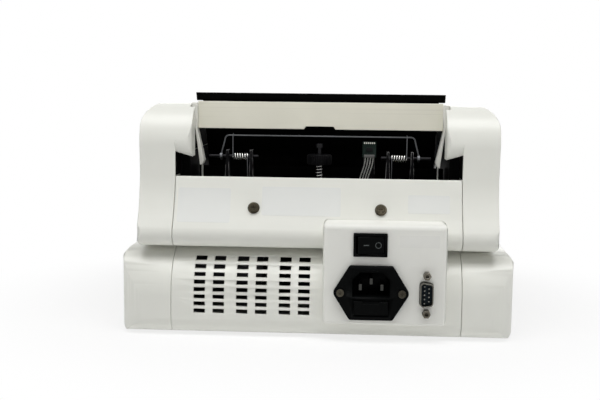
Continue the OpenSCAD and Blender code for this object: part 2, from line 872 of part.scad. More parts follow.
// One key: cap in the panel's hole, flange behind it and stem to its switch
key_flange = 1.4;
key_flange_t = 1.2;
key_stem = 4;
key_stem_r = 1.5;
module key(i) {
  wide = key_w / 2 + key_flange;
  high = key_h / 2 + key_flange;
  color("slategray") on_panel() key_at(i) {
    block([-key_w / 2, -key_h / 2, -wall - cut], [key_w / 2, key_h / 2, key_proud]);
    block([-wide, -high, -wall - slack - key_flange_t], [wide, high, -wall - slack]);
    translate([0, 0, -wall - key_stem]) cylinder(h = key_stem - cut, r = key_stem_r);
  }
}

module key_1() {
  key(0);
}

module key_2() {
  key(1);
}

module key_3() {
  key(2);
}

module key_4() {
  key(3);
}

// Board behind the panel, with a switch under each key and posts to the panel's back
board_back = 8;
board_margin = 5;
board_half = 13;
post_r = 1.6;
post_inset = 2;
contact_half = 3;
module key_board() {
  back = -wall - board_back;
  left = -display_x - display_w / 2;
  right = key_x + 3 * key_pitch + key_w / 2 + board_margin;
  post_y = board_half - post_inset;
  color("darkgreen") on_panel() {
    block([left, panel_v - board_half, back - board_t], [right, panel_v + board_half, back]);
    for (i = [0 : 3]) key_at(i) block(
      [-contact_half, -contact_half, back - cut],
      [contact_half, contact_half, -wall - key_stem - key_travel - slack]);
    for (x = [left + display_w + board_margin, right - post_inset], y = [-post_y, post_y])
      translate([x, panel_v + y, back - cut]) cylinder(h = board_back + cut, r = post_r);
  }
}

// Rear face of the leaning back rest at height z
function rest_y(z) = -rest_foot_y - (z - rest_foot_z) * (lip_y - rest_foot_y) / (lip_z - rest_foot_z);

// Slab of the leaning back rest between two heights
module rest_slab(z0, z1, width) {
  along_x(-width / 2, width / 2) polygon([
    [rest_y(z0), z0], [rest_y(z0) + rest_t, z0], [rest_y(z1) + rest_t, z1], [rest_y(z1), z1]
  ]);
}

module hopper_rest() {
  skirt_half = frame_in - 0.5;
  room = separator_half + 0.8;
  color([0.05, 0.05, 0.06]) difference() {
    union() {
      rest_slab(lip_low, lip_z, lip_w);
      rest_slab(rest_foot_z, lip_low, rest_w);
      block([-skirt_half, -rest_foot_y, skirt_z], [skirt_half, -rest_foot_y + rest_t, rest_foot_z]);
    }
    block([-room, -rest_foot_y - cut, skirt_z - cut], [room, cut - rest_foot_y + rest_t, web_z - 0.5]);
  }
}

module hopper_cover() {
  back = -lip_y;
  seat_y = rest_y(cover_z0 + cover_t) - 0.1;
  color([0.85, 0.84, 0.77]) difference() {
    along_x(-cover_w / 2, cover_w / 2) polygon([
      [back, cover_z0], [seat_y, cover_z0], [seat_y, cover_z0 + cover_t],
      [back + cover_t, cover_z0 + cover_t], [back + cover_t, cover_z1], [back, cover_z1]
    ]);
    along_y(back - cut, seat_y + cut) polygon([
      [-notch_w / 2, cover_z0 - cut], [notch_w / 2, cover_z0 - cut],
      [notch_w / 2 - notch_h, cover_z0 + notch_h], [notch_h - notch_w / 2, cover_z0 + notch_h]
    ]);
  }
}

// Tapering side plates of the hopper, with a thin tail down to the bracket
module hopper_cheeks() {
  top_in = cover_w / 2 + 0.4;
  tip_in = rest_w / 2 - cheek_in;
  top_z = cover_z1 - 1;
  color([0.88, 0.87, 0.8]) both_sides() {
    along_y(-lip_y - 3, -cheek_front) polygon([
      [tip_in + 0.4 * cheek_tip_t, cheek_tip_z], [tip_in + 0.9 * cheek_tip_t, cheek_tip_z],
      [tip_in + cheek_tip_t, cheek_tip_z + cheek_tip_t], [top_in + cheek_top_t, top_z],
      [top_in, top_z], [top_in, cover_z0 - slack], [tip_in, cheek_tip_z + cheek_tip_t]
    ]);
    block(
      [tip_in + 0.5 * cheek_tip_t, -lip_y, tail_z],
      [tip_in + 0.65 * cheek_tip_t, -cheek_front - cut, cheek_tip_z + cut]);
  }
}

module feed_tray() {
  wide = block_x - slack;
  color([0.12, 0.12, 0.13]) difference() {
    along_x(-wide, wide) polygon([
      [tray_y0, tray_z0 - tray_t], [tray_y1, tray_z1 - tray_t], [tray_y1, tray_z1], [tray_y0, tray_z0]
    ]);
    for (x = [-kicker_x, kicker_x])
      rod_x(x - kicker_w / 2 - 0.8, x + kicker_w / 2 + 0.8, kicker_y, kicker_z, kicker_roller_r + 1);
  }
}

shafts = [[-feed_y, feed_z], [kicker_y, kicker_z], [stacker_y, stacker_z]];

module side_frame() {
  difference() {
    union() {
      along_x(frame_in, frame_out) polygon([
        [-frame_rear, floor_z], [frame_front, floor_z], [frame_front, sill_z - 5],
        [frame_front - 14, frame_top], [-frame_rear, frame_top]
      ]);
      block(
        [frame_in, -frame_rear, head_low + 1.5 * wall],
        [seam - seam_gap, -frame_rear + frame_t, frame_top]);
    }
    for (place = shafts) rod_x(frame_in - cut, frame_out + cut, place[0], place[1], bush_r + seat);
  }
}

module side_frames() {
  color([0.13, 0.13, 0.14]) {
    side_frame();
    mirror([1, 0, 0]) difference() {
      side_frame();
      rod_x(frame_in - cut, frame_out + cut, -motor_y, motor_z, motor_shaft_r + 1.5);
    }
  }
}

module frame_rods() {
  places = [[-rear_rod_y, rear_rod_z], [front_rod_y, high_rod_z], [front_rod_y, low_rod_z]];
  color("gray") for (place = places)
    rod_x(-frame_in, frame_in, place[0], place[1], rod_r);
}

module bushes() {
  color("peru") both_sides() for (place = shafts) difference() {
    union() {
      rod_x(frame_in - bush_flange_t, frame_in, place[0], place[1], bush_flange_r);
      rod_x(frame_in - bush_flange_t, frame_out, place[0], place[1], bush_r);
    }
    rod_x(frame_in - bush_flange_t - cut, frame_out + cut, place[0], place[1], shaft_r + running_fit);
  }
}

// Cross bracket behind the hopper: web, four ears, a tab for the sensor board and end tabs
module clevis_bracket() {
  reach = frame_in - slack;
  low = web_z - web_t;
  color([0.2, 0.2, 0.21]) difference() {
    union() {
      block([-reach, -pivot_y - 12, low], [reach, -pivot_y + 12, web_z]);
      for (x = [-reach, reach - 1.6]) block([x, -pivot_y - 12, low - 8], [x + 1.6, -pivot_y + 12, web_z]);
      both_sides() for (x = [ear_in, ear_out])
        along_y(-pivot_y - ear_d / 2, -pivot_y + ear_d / 2) polygon([
          [x - ear_root_t / 2, low], [x + ear_root_t / 2, low],
          [x + ear_t / 2, pivot_z + 4.5], [x - ear_t / 2, pivot_z + 4.5]
        ]);
      block(
        [board_x - board_w / 2 + 1, -pivot_y + 3, low],
        [board_x + board_w / 2 - 1, -pivot_y + 4.2, board_z0 + 6]);
    }
    both_sides() rod_x(pivot_in, pivot_out, -pivot_y, pivot_z, pivot_r + seat);
    translate([0, -pivot_y, low - cut]) cylinder(h = web_t + 2 * cut, r = screw_r + running_fit);
  }
}

module pivot_shafts() {
  color("silver") both_sides() rod_x(pivot_in, pivot_out, -pivot_y, pivot_z, pivot_r);
}

// Wire bail: top bar, bent corners, splayed legs and an eye on each shaft
module spring_bail() {
  leg_top = [bail_half, bail_z - bail_bend];
  leg_foot = [bail_foot, pivot_z + (bail_eye_r + pivot_r) / 2];
  leg = leg_foot - leg_top;
  color("silver") {
    rod_x(bail_bend - bail_half, bail_half - bail_bend, -pivot_y, bail_z, bail_wire_r);
    both_sides() {
      translate([bail_half - bail_bend, -pivot_y, bail_z - bail_bend]) rotate([90, 0, 0])
        rotate_extrude(angle = 90) translate([bail_bend, 0]) circle(r = bail_wire_r);
      translate([leg_top[0], -pivot_y, leg_top[1]]) sphere(r = bail_wire_r);
      translate([leg_top[0], -pivot_y, leg_top[1]]) rotate([0, 180 - atan2(leg[0], -leg[1]), 0])
        cylinder(h = norm(leg), r = bail_wire_r);
      difference() {
        rod_x(bail_foot - 0.8, bail_foot + 0.8, -pivot_y, pivot_z, bail_eye_r);
        rod_x(bail_foot - cut, bail_foot + cut, -pivot_y, pivot_z, pivot_r + running_fit);
      }
    }
  }
}

// Path of a torsion spring: arm up from the web, coil, arm up to a hook over the bail's bar
curl_rings = 8;
coil_rings = spring_turns * curl_rings;
coil_y = -pivot_y - coil_r;
hook_z = bail_z + bail_wire_r + spring_wire / 2 + 0.2;
torsion_path = concat(
  [[spring_in, coil_y, web_z + 1], [spring_in, coil_y, pivot_z - 8], [spring_in, coil_y, pivot_z - 2]],
  [for (i = [0 : coil_rings])
    let (turn = 180 - 360 * i / curl_rings)
    [
      spring_in + (spring_out - spring_in) * i / coil_rings,
      -pivot_y + coil_r * cos(turn),
      pivot_z + coil_r * sin(turn)
    ]],
  [
    [spring_out, coil_y, pivot_z + 2], [spring_out, coil_y, hook_z - 4],
    [spring_out, coil_y, hook_z - 1.2], [spring_out, coil_y + 0.5, hook_z - 0.3],
    [spring_out, coil_y + 1.3, hook_z], [spring_out, -pivot_y + 0.9, hook_z]
  ]
);
echo(torsion_spring_gap = least_gap(torsion_path, 3, 3 + coil_rings, curl_rings, spring_wire));

module torsion_springs() {
  color("silver") both_sides() tube(torsion_path, [1, 0, 0], spring_wire / 2);
}

// Path of the adjusting spring, standing on the web round the screw
adjust_rings = adjust_turns * curl_rings;
adjust_low = web_z + spring_wire;
adjust_high = knob_z - spring_wire;
adjust_path = [for (i = [0 : adjust_rings])
  let (turn = 360 * i / curl_rings)
  [
    adjust_coil_r * cos(turn),
    -pivot_y + adjust_coil_r * sin(turn),
    adjust_low + (adjust_high - adjust_low) * i / adjust_rings
  ]];
echo(adjust_spring_gap = least_gap(adjust_path, 0, adjust_rings, curl_rings, spring_wire));

module adjust_spring() {
  color("silver") tube(adjust_path, [0, 0, 1], spring_wire / 2);
}

// Lower end of the adjusting screw and the collar that carries the separator
arm_t = 2;
arm_drop = 6;
arm_low = web_z - web_t - arm_drop;
screw_tail = 4;
collar_t = 1.6;
collar_over = 2;
module adjust_screw() {
  low = arm_low - screw_tail;
  color("gray") translate([0, -pivot_y, 0]) difference() {
    union() {
      translate([0, 0, low]) cylinder(h = screw_top - screw_head_h - low + 0.5, r = screw_r);
      translate([0, 0, screw_top - screw_head_h]) cylinder(h = screw_head_h, r = screw_head_r);
      translate([0, 0, arm_low - separator_travel - slack - collar_t])
        cylinder(h = collar_t, r = screw_r + collar_over);
    }
    translate([0, 0, screw_top]) cross_recess(screw_head_r, 1.4);
  }
}

module adjust_knob() {
  color([0.15, 0.15, 0.15]) translate([0, -pivot_y, knob_z]) difference() {
    union() {
      cylinder(h = knob_h, r = knob_r - 0.6);
      for (i = [0 : knob_ribs - 1])
        rotate([0, 0, 360 * i / knob_ribs]) translate([knob_r - 1.2, -0.5, 0.6])
          cube([1.2, 1, knob_h - 1.2]);
    }
    translate([0, 0, -cut]) cylinder(h = knob_h + 2 * cut, r = screw_r + seat);
  }
}

// Retard block facing the feed rollers, hung on the adjusting screw
separator_front = 3;
separator_rear = 12.5;
separator_down = 6;
separator_up = 5;
arm_half = 5;
arm_over = 6;
module separator() {
  front = separator_front - rest_foot_y;
  rear = -rest_foot_y - separator_rear;
  color([0.3, 0.3, 0.3]) difference() {
    union() {
      block(
        [-separator_half, rear, arm_low - separator_down],
        [separator_half, front, arm_low + separator_up]);
      block([-arm_half, -pivot_y - arm_over, arm_low], [arm_half, rear + cut, arm_low + arm_t]);
    }
    translate([0, -pivot_y, arm_low - cut]) cylinder(h = arm_t + 2 * cut, r = screw_r + slack);
  }
}

module sensor_board() {
  face = -pivot_y + 3;
  color([0.05, 0.25, 0.15]) {
    block([board_x - board_w / 2, face - board_t, board_z0], [board_x + board_w / 2, face, board_z1]);
    block(
      [board_x - ribbon_w / 2 - 0.5, face - board_t - 2, board_z0 + 0.2],
      [board_x + ribbon_w / 2 + 0.5, face - board_t + 0.4, board_z0 + 2.2]);
    block(
      [board_x - 2, face - board_t - 1, board_z0 + 4.5],
      [board_x + 2, face - board_t + 0.4, board_z0 + 7]);
  }
}

// Flat cable from the board's header, curving down to the bracket's web
ribbon_steps = 12;
function ribbon_x(t) = board_x - ribbon_shift * (1 - cos(180 * t)) / 2;
module ribbon_cable() {
  top = board_z0;
  low = web_z + slack;
  back = -pivot_y + 3 - board_t - 1.4;
  down = [for (i = [0 : ribbon_steps]) i / ribbon_steps];
  color("lightgray") along_y(back - ribbon_t / 2, back + ribbon_t / 2) polygon(concat(
    [for (t = down) [ribbon_x(t) - ribbon_w / 2, top + (low - top) * t]],
    [for (t = down) [ribbon_x(1 - t) + ribbon_w / 2, low + (top - low) * t]]
  ));
}

module roller_shaft(place) {
  color("silver") rod_x(-shaft_end, shaft_end, place[0], place[1], shaft_r);
}

module feed_shaft() {
  roller_shaft(shafts[0]);
}

module kicker_shaft() {
  roller_shaft(shafts[1]);
}

module stacker_shaft() {
  roller_shaft(shafts[2]);
}

// A pair of rollers on a shaft, x from the middle and w wide
module roller_pair(place, x, w, r) {
  both_sides() difference() {
    rod_x(x - w / 2, x + w / 2, place[0], place[1], r);
    rod_x(x - w, x + w, place[0], place[1], shaft_r + seat);
  }
}

module feed_rollers() {
  color("darkorange") roller_pair(shafts[0], feed_roller_x, feed_roller_w, feed_roller_r);
}

module kicker_rollers() {
  color("darkorange") roller_pair(shafts[1], kicker_x, kicker_w, kicker_roller_r);
}

// One swept-back finger of a stacker wheel, as an outline round its shaft
finger_steps = 8;
finger_sweep = 60;
finger_t = 1.6;
hub_r = shaft_r + 3;
function finger_point(t, side) =
  let (
    r = hub_r - 1 + (stacker_r - hub_r + 1) * t,
    turn = finger_sweep * t * t + side * finger_t / r * 90 / PI
  )
  r * [cos(turn), sin(turn)];

module stacker_wheels() {
  x0 = stacker_x - stacker_w / 2;
  x1 = stacker_x + stacker_w / 2;
  color("seagreen") both_sides() translate([0, stacker_y, stacker_z]) difference() {
    union() {
      rod_x(x0, x1, 0, 0, hub_r);
      for (i = [0 : fingers - 1])
        rotate([360 * i / fingers, 0, 0]) along_x(x0, x1) polygon(concat(
          [for (k = [0 : finger_steps]) finger_point(k / finger_steps, -1)],
          [for (k = [0 : finger_steps]) finger_point(1 - k / finger_steps, 1)]
        ));
    }
    rod_x(stacker_x - stacker_w, stacker_x + stacker_w, 0, 0, shaft_r + seat);
  }
}

module drive_motor() {
  face = -frame_in;
  color("dimgray") difference() {
    union() {
      rod_x(face, face + motor_len * 0.85, -motor_y, motor_z, motor_r);
      rod_x(face + motor_len * 0.8, face + motor_len, -motor_y, motor_z, motor_r * 0.7);
    }
    rod_x(face - cut, face + motor_shaft_in + cut, -motor_y, motor_z, motor_shaft_r + running_fit);
  }
}

pulley_in = frame_out + 0.5;
pulley_flange = 0.4;
belt_in = (pulley_in + shaft_end - belt_w) / 2;

// Flanged pulley outside the right frame, bored unless the bore is 0
module pulley(place, r, bore) {
  difference() {
    union() {
      rod_x(pulley_in, shaft_end, place[0], place[1], r);
      for (x = [pulley_in, shaft_end - pulley_flange])
        rod_x(x, x + pulley_flange, place[0], place[1], r + 0.9);
    }
    if (bore > 0) rod_x(pulley_in - cut, shaft_end + cut, place[0], place[1], bore);
  }
}

motor_place = [-motor_y, motor_z];

module motor_pulley() {
  color("silver") mirror([1, 0, 0]) {
    pulley(motor_place, motor_pulley_r, 0);
    rod_x(frame_in - motor_shaft_in, pulley_in + cut, motor_place[0], motor_place[1], motor_shaft_r);
  }
}

module feed_pulleys() {
  color("silver") {
    pulley(shafts[0], timing_pulley_r, shaft_r + seat);
    mirror([1, 0, 0]) pulley(shafts[0], feed_pulley_r, shaft_r + seat);
  }
}

module kicker_pulley() {
  color("silver") pulley(shafts[1], kicker_pulley_r, shaft_r + seat);
}

module stacker_pulley() {
  color("silver") pulley(shafts[2], timing_pulley_r, shaft_r + seat);
}

// Outline round a set of pulleys, grown by d
module belt_outline(places, radii, d) {
  hull() for (i = [0 : len(places) - 1])
    translate(places[i]) circle(r = radii[i] + d, $fn = hull_fn);
}

module belt(places, radii) {
  along_x(belt_in, belt_in + belt_w) difference() {
    belt_outline(places, radii, belt_gap + belt_t);
    belt_outline(places, radii, belt_gap);
  }
}

module drive_belt() {
  color([0.1, 0.1, 0.1]) mirror([1, 0, 0]) belt([motor_place, shafts[0]], [motor_pulley_r, feed_pulley_r]);
}

module timing_belt() {
  color([0.1, 0.1, 0.1]) belt(shafts, [timing_pulley_r, kicker_pulley_r, timing_pulley_r]);
}

// Main board on its pillars, with a transformer, a heat sink and two capacitors
module main_board() {
  low = floor_z + main_pillar;
  right = frame_in - main_clear;
  long = main_front + main_rear;
  color("darkgreen") {
    block([-main_left, -main_rear, low], [right, main_front, low + board_t]);
    for (x = [-main_left + 4, right - 4], y = [4 - main_rear, main_front - 4])
      translate([x, y, floor_z]) cylinder(h = main_pillar + cut, r = rod_r);
    block(
      [-main_left / 3 * 2, main_front - long / 3, low + cut],
      [main_left / 3, main_front - long / 12, low + 2 * main_pillar]);
    for (x = [right / 3, right / 5 * 3])
      translate([x, main_front - long * 0.45, low + cut]) cylinder(h = 3 * main_pillar, r = main_pillar);
    block(
      [right / 4, long / 11 - main_rear, low + cut],
      [right / 4 * 3, long / 3 - main_rear, low + 3.5 * main_pillar]);
  }
}

// Outlines in the XZ plane of what the connector box carries
flange_outline = [
  [flange_w / 2, 0], [flange_top_w / 2, flange_h / 2], [-flange_top_w / 2, flange_h / 2],
  [-flange_w / 2, 0], [-flange_top_w / 2, -flange_h / 2], [flange_top_w / 2, -flange_h / 2]
];
housing_half = socket_w / 2 + 1.6;
housing_low = -drawer_down - drawer_h / 2 - 1.6;
housing_high = socket_up + socket_h / 2 + 1.6;
housing_outline = rect([-housing_half, housing_low], [housing_half, housing_high]);
socket_outline = [
  [-socket_w / 2, -socket_h / 2], [socket_w / 2, -socket_h / 2], [socket_w / 2, socket_h / 2 - 5],
  [socket_w / 2 - 5, socket_h / 2], [5 - socket_w / 2, socket_h / 2], [-socket_w / 2, socket_h / 2 - 5]
];
serial_outline = [
  [-serial_wide / 2, -serial_long / 2], [serial_wide / 2, 1.4 - serial_long / 2],
  [serial_wide / 2, serial_long / 2 - 1.4], [-serial_wide / 2, serial_long / 2]
];
serial_radii = [2.4, 2.4, 2.4, 2.4];
stud_r = jack_hole_r + 0.25;
switch_half = [bezel_w / 2 - 1, bezel_h / 2 - 1];
rocker_room = [switch_half[0] - 0.6, switch_half[1] - 0.8];
rocker_pivot = 2;
trunnion_r = 1.2;

module on_box(x, z) {
  translate([x, -box_face, z]) children();
}

module connector_box() {
  back = box_depth - box_face;
  color("whitesmoke") difference() {
    intersection() {
      along_y(-box_face, back) polygon(rounded(box_outline, box_radii));
      along_x(box_x0, box_x1)
        polygon(rounded(rect([-box_face, box_z0], [back, box_z1]), [box_edge_r, 0, 0, box_brow_r]));
      linear_extrude(box_z1)
        polygon(rounded(rect([box_x0, -box_face], [box_x1, back]), [box_edge_r, box_edge_r, 0, 0]));
    }
    along_y(wall - box_face, back + cut)
      polygon(rounded(inset(box_outline, wall), shrink(box_radii, wall)));
    on_box(switch_x, switch_z) block(
      [-switch_half[0] - box_gap, -cut, -switch_half[1] - box_gap],
      [switch_half[0] + box_gap, wall + cut, switch_half[1] + box_gap]);
    on_box(inlet_x, inlet_z) {
      along_y(-cut, wall + cut) polygon(inset(housing_outline, -box_gap));
      for (x = [-inlet_screw_pitch / 2, inlet_screw_pitch / 2])
        rod_y(-cut, wall + cut, x, 0, inlet_screw_r * 0.6 + 0.2);
    }
    on_box(serial_x, serial_z) {
      along_y(-cut, wall + cut) polygon(rounded(inset(serial_outline, -box_gap), serial_radii));
      for (z = [-jack_pitch / 2, jack_pitch / 2]) rod_y(-cut, wall + cut, 0, z, stud_r + 0.2);
    }
  }
}

module switch_body() {
  color([0.06, 0.06, 0.06]) on_box(switch_x, switch_z) difference() {
    union() {
      block([-bezel_w / 2, -bezel_t, -bezel_h / 2], [bezel_w / 2, 0, bezel_h / 2]);
      block([-switch_half[0], -cut, -switch_half[1]], [switch_half[0], switch_depth, switch_half[1]]);
    }
    block(
      [-rocker_room[0], -bezel_t - cut, -rocker_room[1]],
      [rocker_room[0], switch_depth - 6, rocker_room[1]]);
    translate([0, rocker_pivot, -switch_half[1] - cut])
      cylinder(h = 2 * (switch_half[1] + cut), r = trunnion_r + running_fit);
  }
}

// Rocker, tilted to its off side; it turns on two upright trunnions in the switch's walls
module switch_rocker() {
  reach = rocker_room[0] - 0.9;
  tall = rocker_room[1] - 0.35;
  face = rocker_pivot + bezel_t + 0.8;
  color([0.1, 0.1, 0.1]) on_box(switch_x, switch_z) translate([0, rocker_pivot, 0]) {
    translate([0, 0, -tall]) rotate([0, 0, rocker_tilt]) linear_extrude(2 * tall) polygon([
      [-reach, -face], [0, 1 - face], [reach, -face],
      [reach, 1], [reach * 0.4, 4], [-reach * 0.4, 4], [-reach, 1]
    ]);
    translate([0, 0, -switch_half[1]]) cylinder(h = 2 * switch_half[1], r = trunnion_r);
  }
}

module inlet_body() {
  front = -flange_t;
  color([0.05, 0.05, 0.05]) on_box(inlet_x, inlet_z) difference() {
    union() {
      along_y(front, 0) polygon(rounded(flange_outline, [4, 2, 2, 4, 2, 2]));
      along_y(-cut, housing_depth) polygon(housing_outline);
    }
    along_y(front - cut, front + socket_depth) translate([0, socket_up]) polygon(socket_outline);
    block(
      [-drawer_w / 2 - drawer_gap, front - cut, -drawer_down - drawer_h / 2 - drawer_gap],
      [
        drawer_w / 2 + drawer_gap,
        front + drawer_depth + drawer_gap,
        -drawer_down + drawer_h / 2 + drawer_gap
      ]);
    for (x = [-inlet_screw_pitch / 2, inlet_screw_pitch / 2])
      rod_y(front - cut, cut, x, 0, inlet_screw_r * 0.6 + 0.2);
  }
}

// Two line blades and the earth blade above them
module inlet_pins() {
  color("silver") on_box(inlet_x, inlet_z) for (place = [[-7, -2], [7, -2], [0, 2]])
    translate([place[0], 0, socket_up + place[1]])
      block([-1, 1.5 - flange_t, -2], [1, socket_depth - flange_t, 2]);
}

module inlet_screws() {
  color("silver") on_box(inlet_x, inlet_z) for (x = [-inlet_screw_pitch / 2, inlet_screw_pitch / 2])
    translate([x, -flange_t, 0]) rotate([90, 0, 0]) difference() {
      union() {
        cylinder(h = 1.2, r = inlet_screw_r);
        translate([0, 0, -flange_t - wall - 3])
          cylinder(h = flange_t + wall + 3.5, r = inlet_screw_r * 0.6);
      }
      translate([0, 0, 1.2]) cross_recess(inlet_screw_r, 0.9);
    }
}

// Fuse drawer, a little proud of the flange, with a finger notch in its upper edge
drawer_proud = 0.6;
module fuse_drawer() {
  color([0.08, 0.08, 0.08]) on_box(inlet_x, inlet_z - drawer_down) difference() {
    block(
      [-drawer_w / 2, -flange_t - drawer_proud, -drawer_h / 2],
      [drawer_w / 2, drawer_depth - flange_t, drawer_h / 2]);
    block(
      [-drawer_w / 4, -flange_t - drawer_proud - cut, drawer_h / 2 - 1.6],
      [drawer_w / 4, drawer_proud - flange_t, drawer_h / 2 + cut]);
  }
}

shell_rear = 6;
shell_ear = 2.9;
shell_half = 6.2;
module serial_shell() {
  inside = inset(serial_outline, serial_wall);
  ear = jack_pitch / 2 + shell_ear;
  color("silver") on_box(serial_x, serial_z) difference() {
    union() {
      along_y(-serial_proud, wall + shell_rear) polygon(rounded(serial_outline, serial_radii));
      along_y(wall, wall + 0.8) polygon(rect([-shell_half, -ear], [shell_half, ear]));
    }
    along_y(-serial_proud - cut, wall + shell_rear + cut)
      polygon(rounded(inside, shrink(serial_radii, serial_wall)));
    for (z = [-jack_pitch / 2, jack_pitch / 2]) rod_y(0, wall + 2, 0, z, stud_r + 0.2);
  }
}

module serial_insulator() {
  d = serial_wall + 0.05;
  color([0.05, 0.16, 0.2]) on_box(serial_x, serial_z)
    along_y(1, wall + 6) polygon(rounded(inset(serial_outline, d), shrink(serial_radii, d)));
}

// Five pins on the shell's long side, four on the short one
module serial_pins() {
  color("gold") on_box(serial_x, serial_z) for (row = [0, 1], i = [0 : 4 - row])
    rod_y(1 - serial_proud, 1, (row - 0.5) * 2.84, (i - 2 + row / 2) * pin_pitch, pin_r);
}

module serial_jackscrews() {
  color("darkkhaki") on_box(serial_x, serial_z) for (z = [-jack_pitch / 2, jack_pitch / 2])
    difference() {
      union() {
        translate([0, 0, z]) rotate([90, 0, 0]) cylinder(h = jack_len, r = jack_flats / sqrt(3), $fn = 6);
        rod_y(-cut, wall + 3, 0, z, stud_r);
      }
      rod_y(-jack_len - cut, 0.5 - cut, 0, z, jack_hole_r);
    }
}

base_tray();
base_rear_panel();
base_cap_left();
base_cap_right();
connector_box();
rear_cover();
head_cap_left();
head_cap_right();
front_fascia();
control_panel();
top_deck();
display_lens();
key_board();
key_1();
key_2();
key_3();
key_4();
hopper_rest();
hopper_cover();
hopper_cheeks();
feed_tray();
side_frames();
frame_rods();
clevis_bracket();
pivot_shafts();
spring_bail();
torsion_springs();
adjust_screw();
adjust_knob();
adjust_spring();
separator();
sensor_board();
ribbon_cable();
feed_shaft();
feed_rollers();
kicker_shaft();
kicker_rollers();
stacker_shaft();
stacker_wheels();
drive_motor();
motor_pulley();
feed_pulleys();
kicker_pulley();
stacker_pulley();
drive_belt();
timing_belt();
bushes();
main_board();
inlet_body();
inlet_pins();
inlet_screws();
fuse_drawer();
switch_body();
switch_rocker();
serial_shell();
serial_insulator();
serial_pins();
serial_jackscrews();
rubber_feet();
cover_screws();
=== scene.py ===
import logging
import math
from dataclasses import dataclass, field
from enum import Enum
from functools import cache
from typing import Any, Iterable, Sequence

import bmesh
import bpy
from mathutils import Matrix, Vector
from mathutils.bvhtree import BVHTree


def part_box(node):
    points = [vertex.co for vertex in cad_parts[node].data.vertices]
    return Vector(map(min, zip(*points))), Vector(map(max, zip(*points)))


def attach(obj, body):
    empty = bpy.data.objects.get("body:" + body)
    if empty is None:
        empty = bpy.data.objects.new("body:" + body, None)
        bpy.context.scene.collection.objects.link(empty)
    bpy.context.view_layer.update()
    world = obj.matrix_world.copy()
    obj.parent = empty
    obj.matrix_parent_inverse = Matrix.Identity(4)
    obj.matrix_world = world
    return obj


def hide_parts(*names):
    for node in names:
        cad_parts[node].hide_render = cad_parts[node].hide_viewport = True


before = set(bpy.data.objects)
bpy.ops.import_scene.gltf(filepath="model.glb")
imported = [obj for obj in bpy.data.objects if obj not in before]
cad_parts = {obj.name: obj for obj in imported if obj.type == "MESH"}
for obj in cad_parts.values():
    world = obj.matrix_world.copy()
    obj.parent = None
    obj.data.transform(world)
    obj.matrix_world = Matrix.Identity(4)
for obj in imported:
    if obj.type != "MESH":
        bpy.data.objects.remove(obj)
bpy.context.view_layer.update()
LOG = logging.getLogger("note_counter")
MM = 0.001
MERGE = 2e-6  # Corners of a CAD node's triangles that are this close are one, in metres.
FLAT_ANGLE = 0.6  # Faces that meet at less than this are one face, in degrees.
SHARP_ANGLE = 35.0  # Edges sharper than this are rounded, in degrees.
SMOOTH_ANGLE = 40.0  # Edges up to this are shaded smooth, in degrees.

Point = Sequence[float]
Tree = bpy.types.NodeTree
Socket = bpy.types.NodeSocket
Thing = bpy.types.Object


class Side(Enum):
    """Left or right of the middle, as the rear is looked at."""

    LEFT = -1
    RIGHT = 1


class Surface(Enum):
    """How the skin of a finish is broken up."""

    MOULDED = "moulded"
    DRAWN = "drawn"
    TURNED = "turned"


class Wiring:
    """Adds nodes and links to one node tree."""

    def __init__(self, tree: Tree) -> None:
        """Keeps the tree that the nodes go into."""
        self.tree = tree

    def node(self, kind: str, inputs: dict[str | int, Any] | None = None, **settings: Any) -> bpy.types.Node:
        """Adds a node.

        Args:
            kind: Blender's name for the node type.
            inputs: Values or sockets, by input name or index.
            settings: Properties of the node.

        Returns:
            The new node.
        """
        made = self.tree.nodes.new(kind)
        for key, value in settings.items():
            setattr(made, key, value)
        for key, value in (inputs or {}).items():
            if isinstance(value, Socket):
                self.tree.links.new(value, made.inputs[key])
            else:
                made.inputs[key].default_value = value
        return made

    def math(self, how: str, a: Any, b: Any = 0.0, clamp: bool = False) -> Socket:
        """Adds a Math node and returns its value.

        Args:
            how: The operation.
            a: First number or socket.
            b: Second number or socket.
            clamp: Whether the result is kept from 0 to 1.

        Returns:
            The result's socket.
        """
        return self.node("ShaderNodeMath", {0: a, 1: b}, operation=how, use_clamp=clamp).outputs[0]

    def ramp(self, value: Socket, low: float, high: float, start: float = 0.0, end: float = 1.0) -> Socket:
        """Maps a value smoothly from one range to another.

        Args:
            value: What is mapped.
            low: Where the result is start.
            high: Where the result is end.
            start: Result at low.
            end: Result at high.

        Returns:
            The mapped value's socket.
        """
        spread = {"Value": value, "From Min": low, "From Max": high, "To Min": start, "To Max": end}
        return self.node("ShaderNodeMapRange", spread, interpolation_type="SMOOTHSTEP").outputs["Result"]

    def mix(self, share: Socket | float, a: Any, b: Any) -> Socket:
        """Mixes two colours.

        Args:
            share: How much of b there is.
            a: Colour or socket at 0.
            b: Colour or socket at 1.

        Returns:
            The mixed colour's socket.
        """
        made = self.node("ShaderNodeMix", data_type="RGBA")
        for name, value in (("Factor_Float", share), ("A_Color", a), ("B_Color", b)):
            place = next(s for s in made.inputs if s.identifier == name)
            if isinstance(value, Socket):
                self.tree.links.new(value, place)
            else:
                place.default_value = value
        return next(s for s in made.outputs if s.identifier == "Result_Color")


def new_group(name: str, inputs: dict[str, float], outputs: Sequence[str]) -> tuple[Tree, Wiring, dict[str, Socket]]:
    """Starts a shader node group of plain numbers.

    Args:
        name: The group's name.
        inputs: Named inputs with their usual values.
        outputs: Named outputs.

    Returns:
        The group, its wiring and the sockets of its inputs.
    """
    tree = bpy.data.node_groups.new(name, "ShaderNodeTree")
    for label, usual in inputs.items():
        made = tree.interface.new_socket(label, in_out="INPUT", socket_type="NodeSocketFloat")
        made.default_value = usual
    for label in outputs:
        tree.interface.new_socket(label, in_out="OUTPUT", socket_type="NodeSocketFloat")
    wiring = Wiring(tree)
    entry = wiring.node("NodeGroupInput")
    return tree, wiring, {label: entry.outputs[label] for label in inputs}


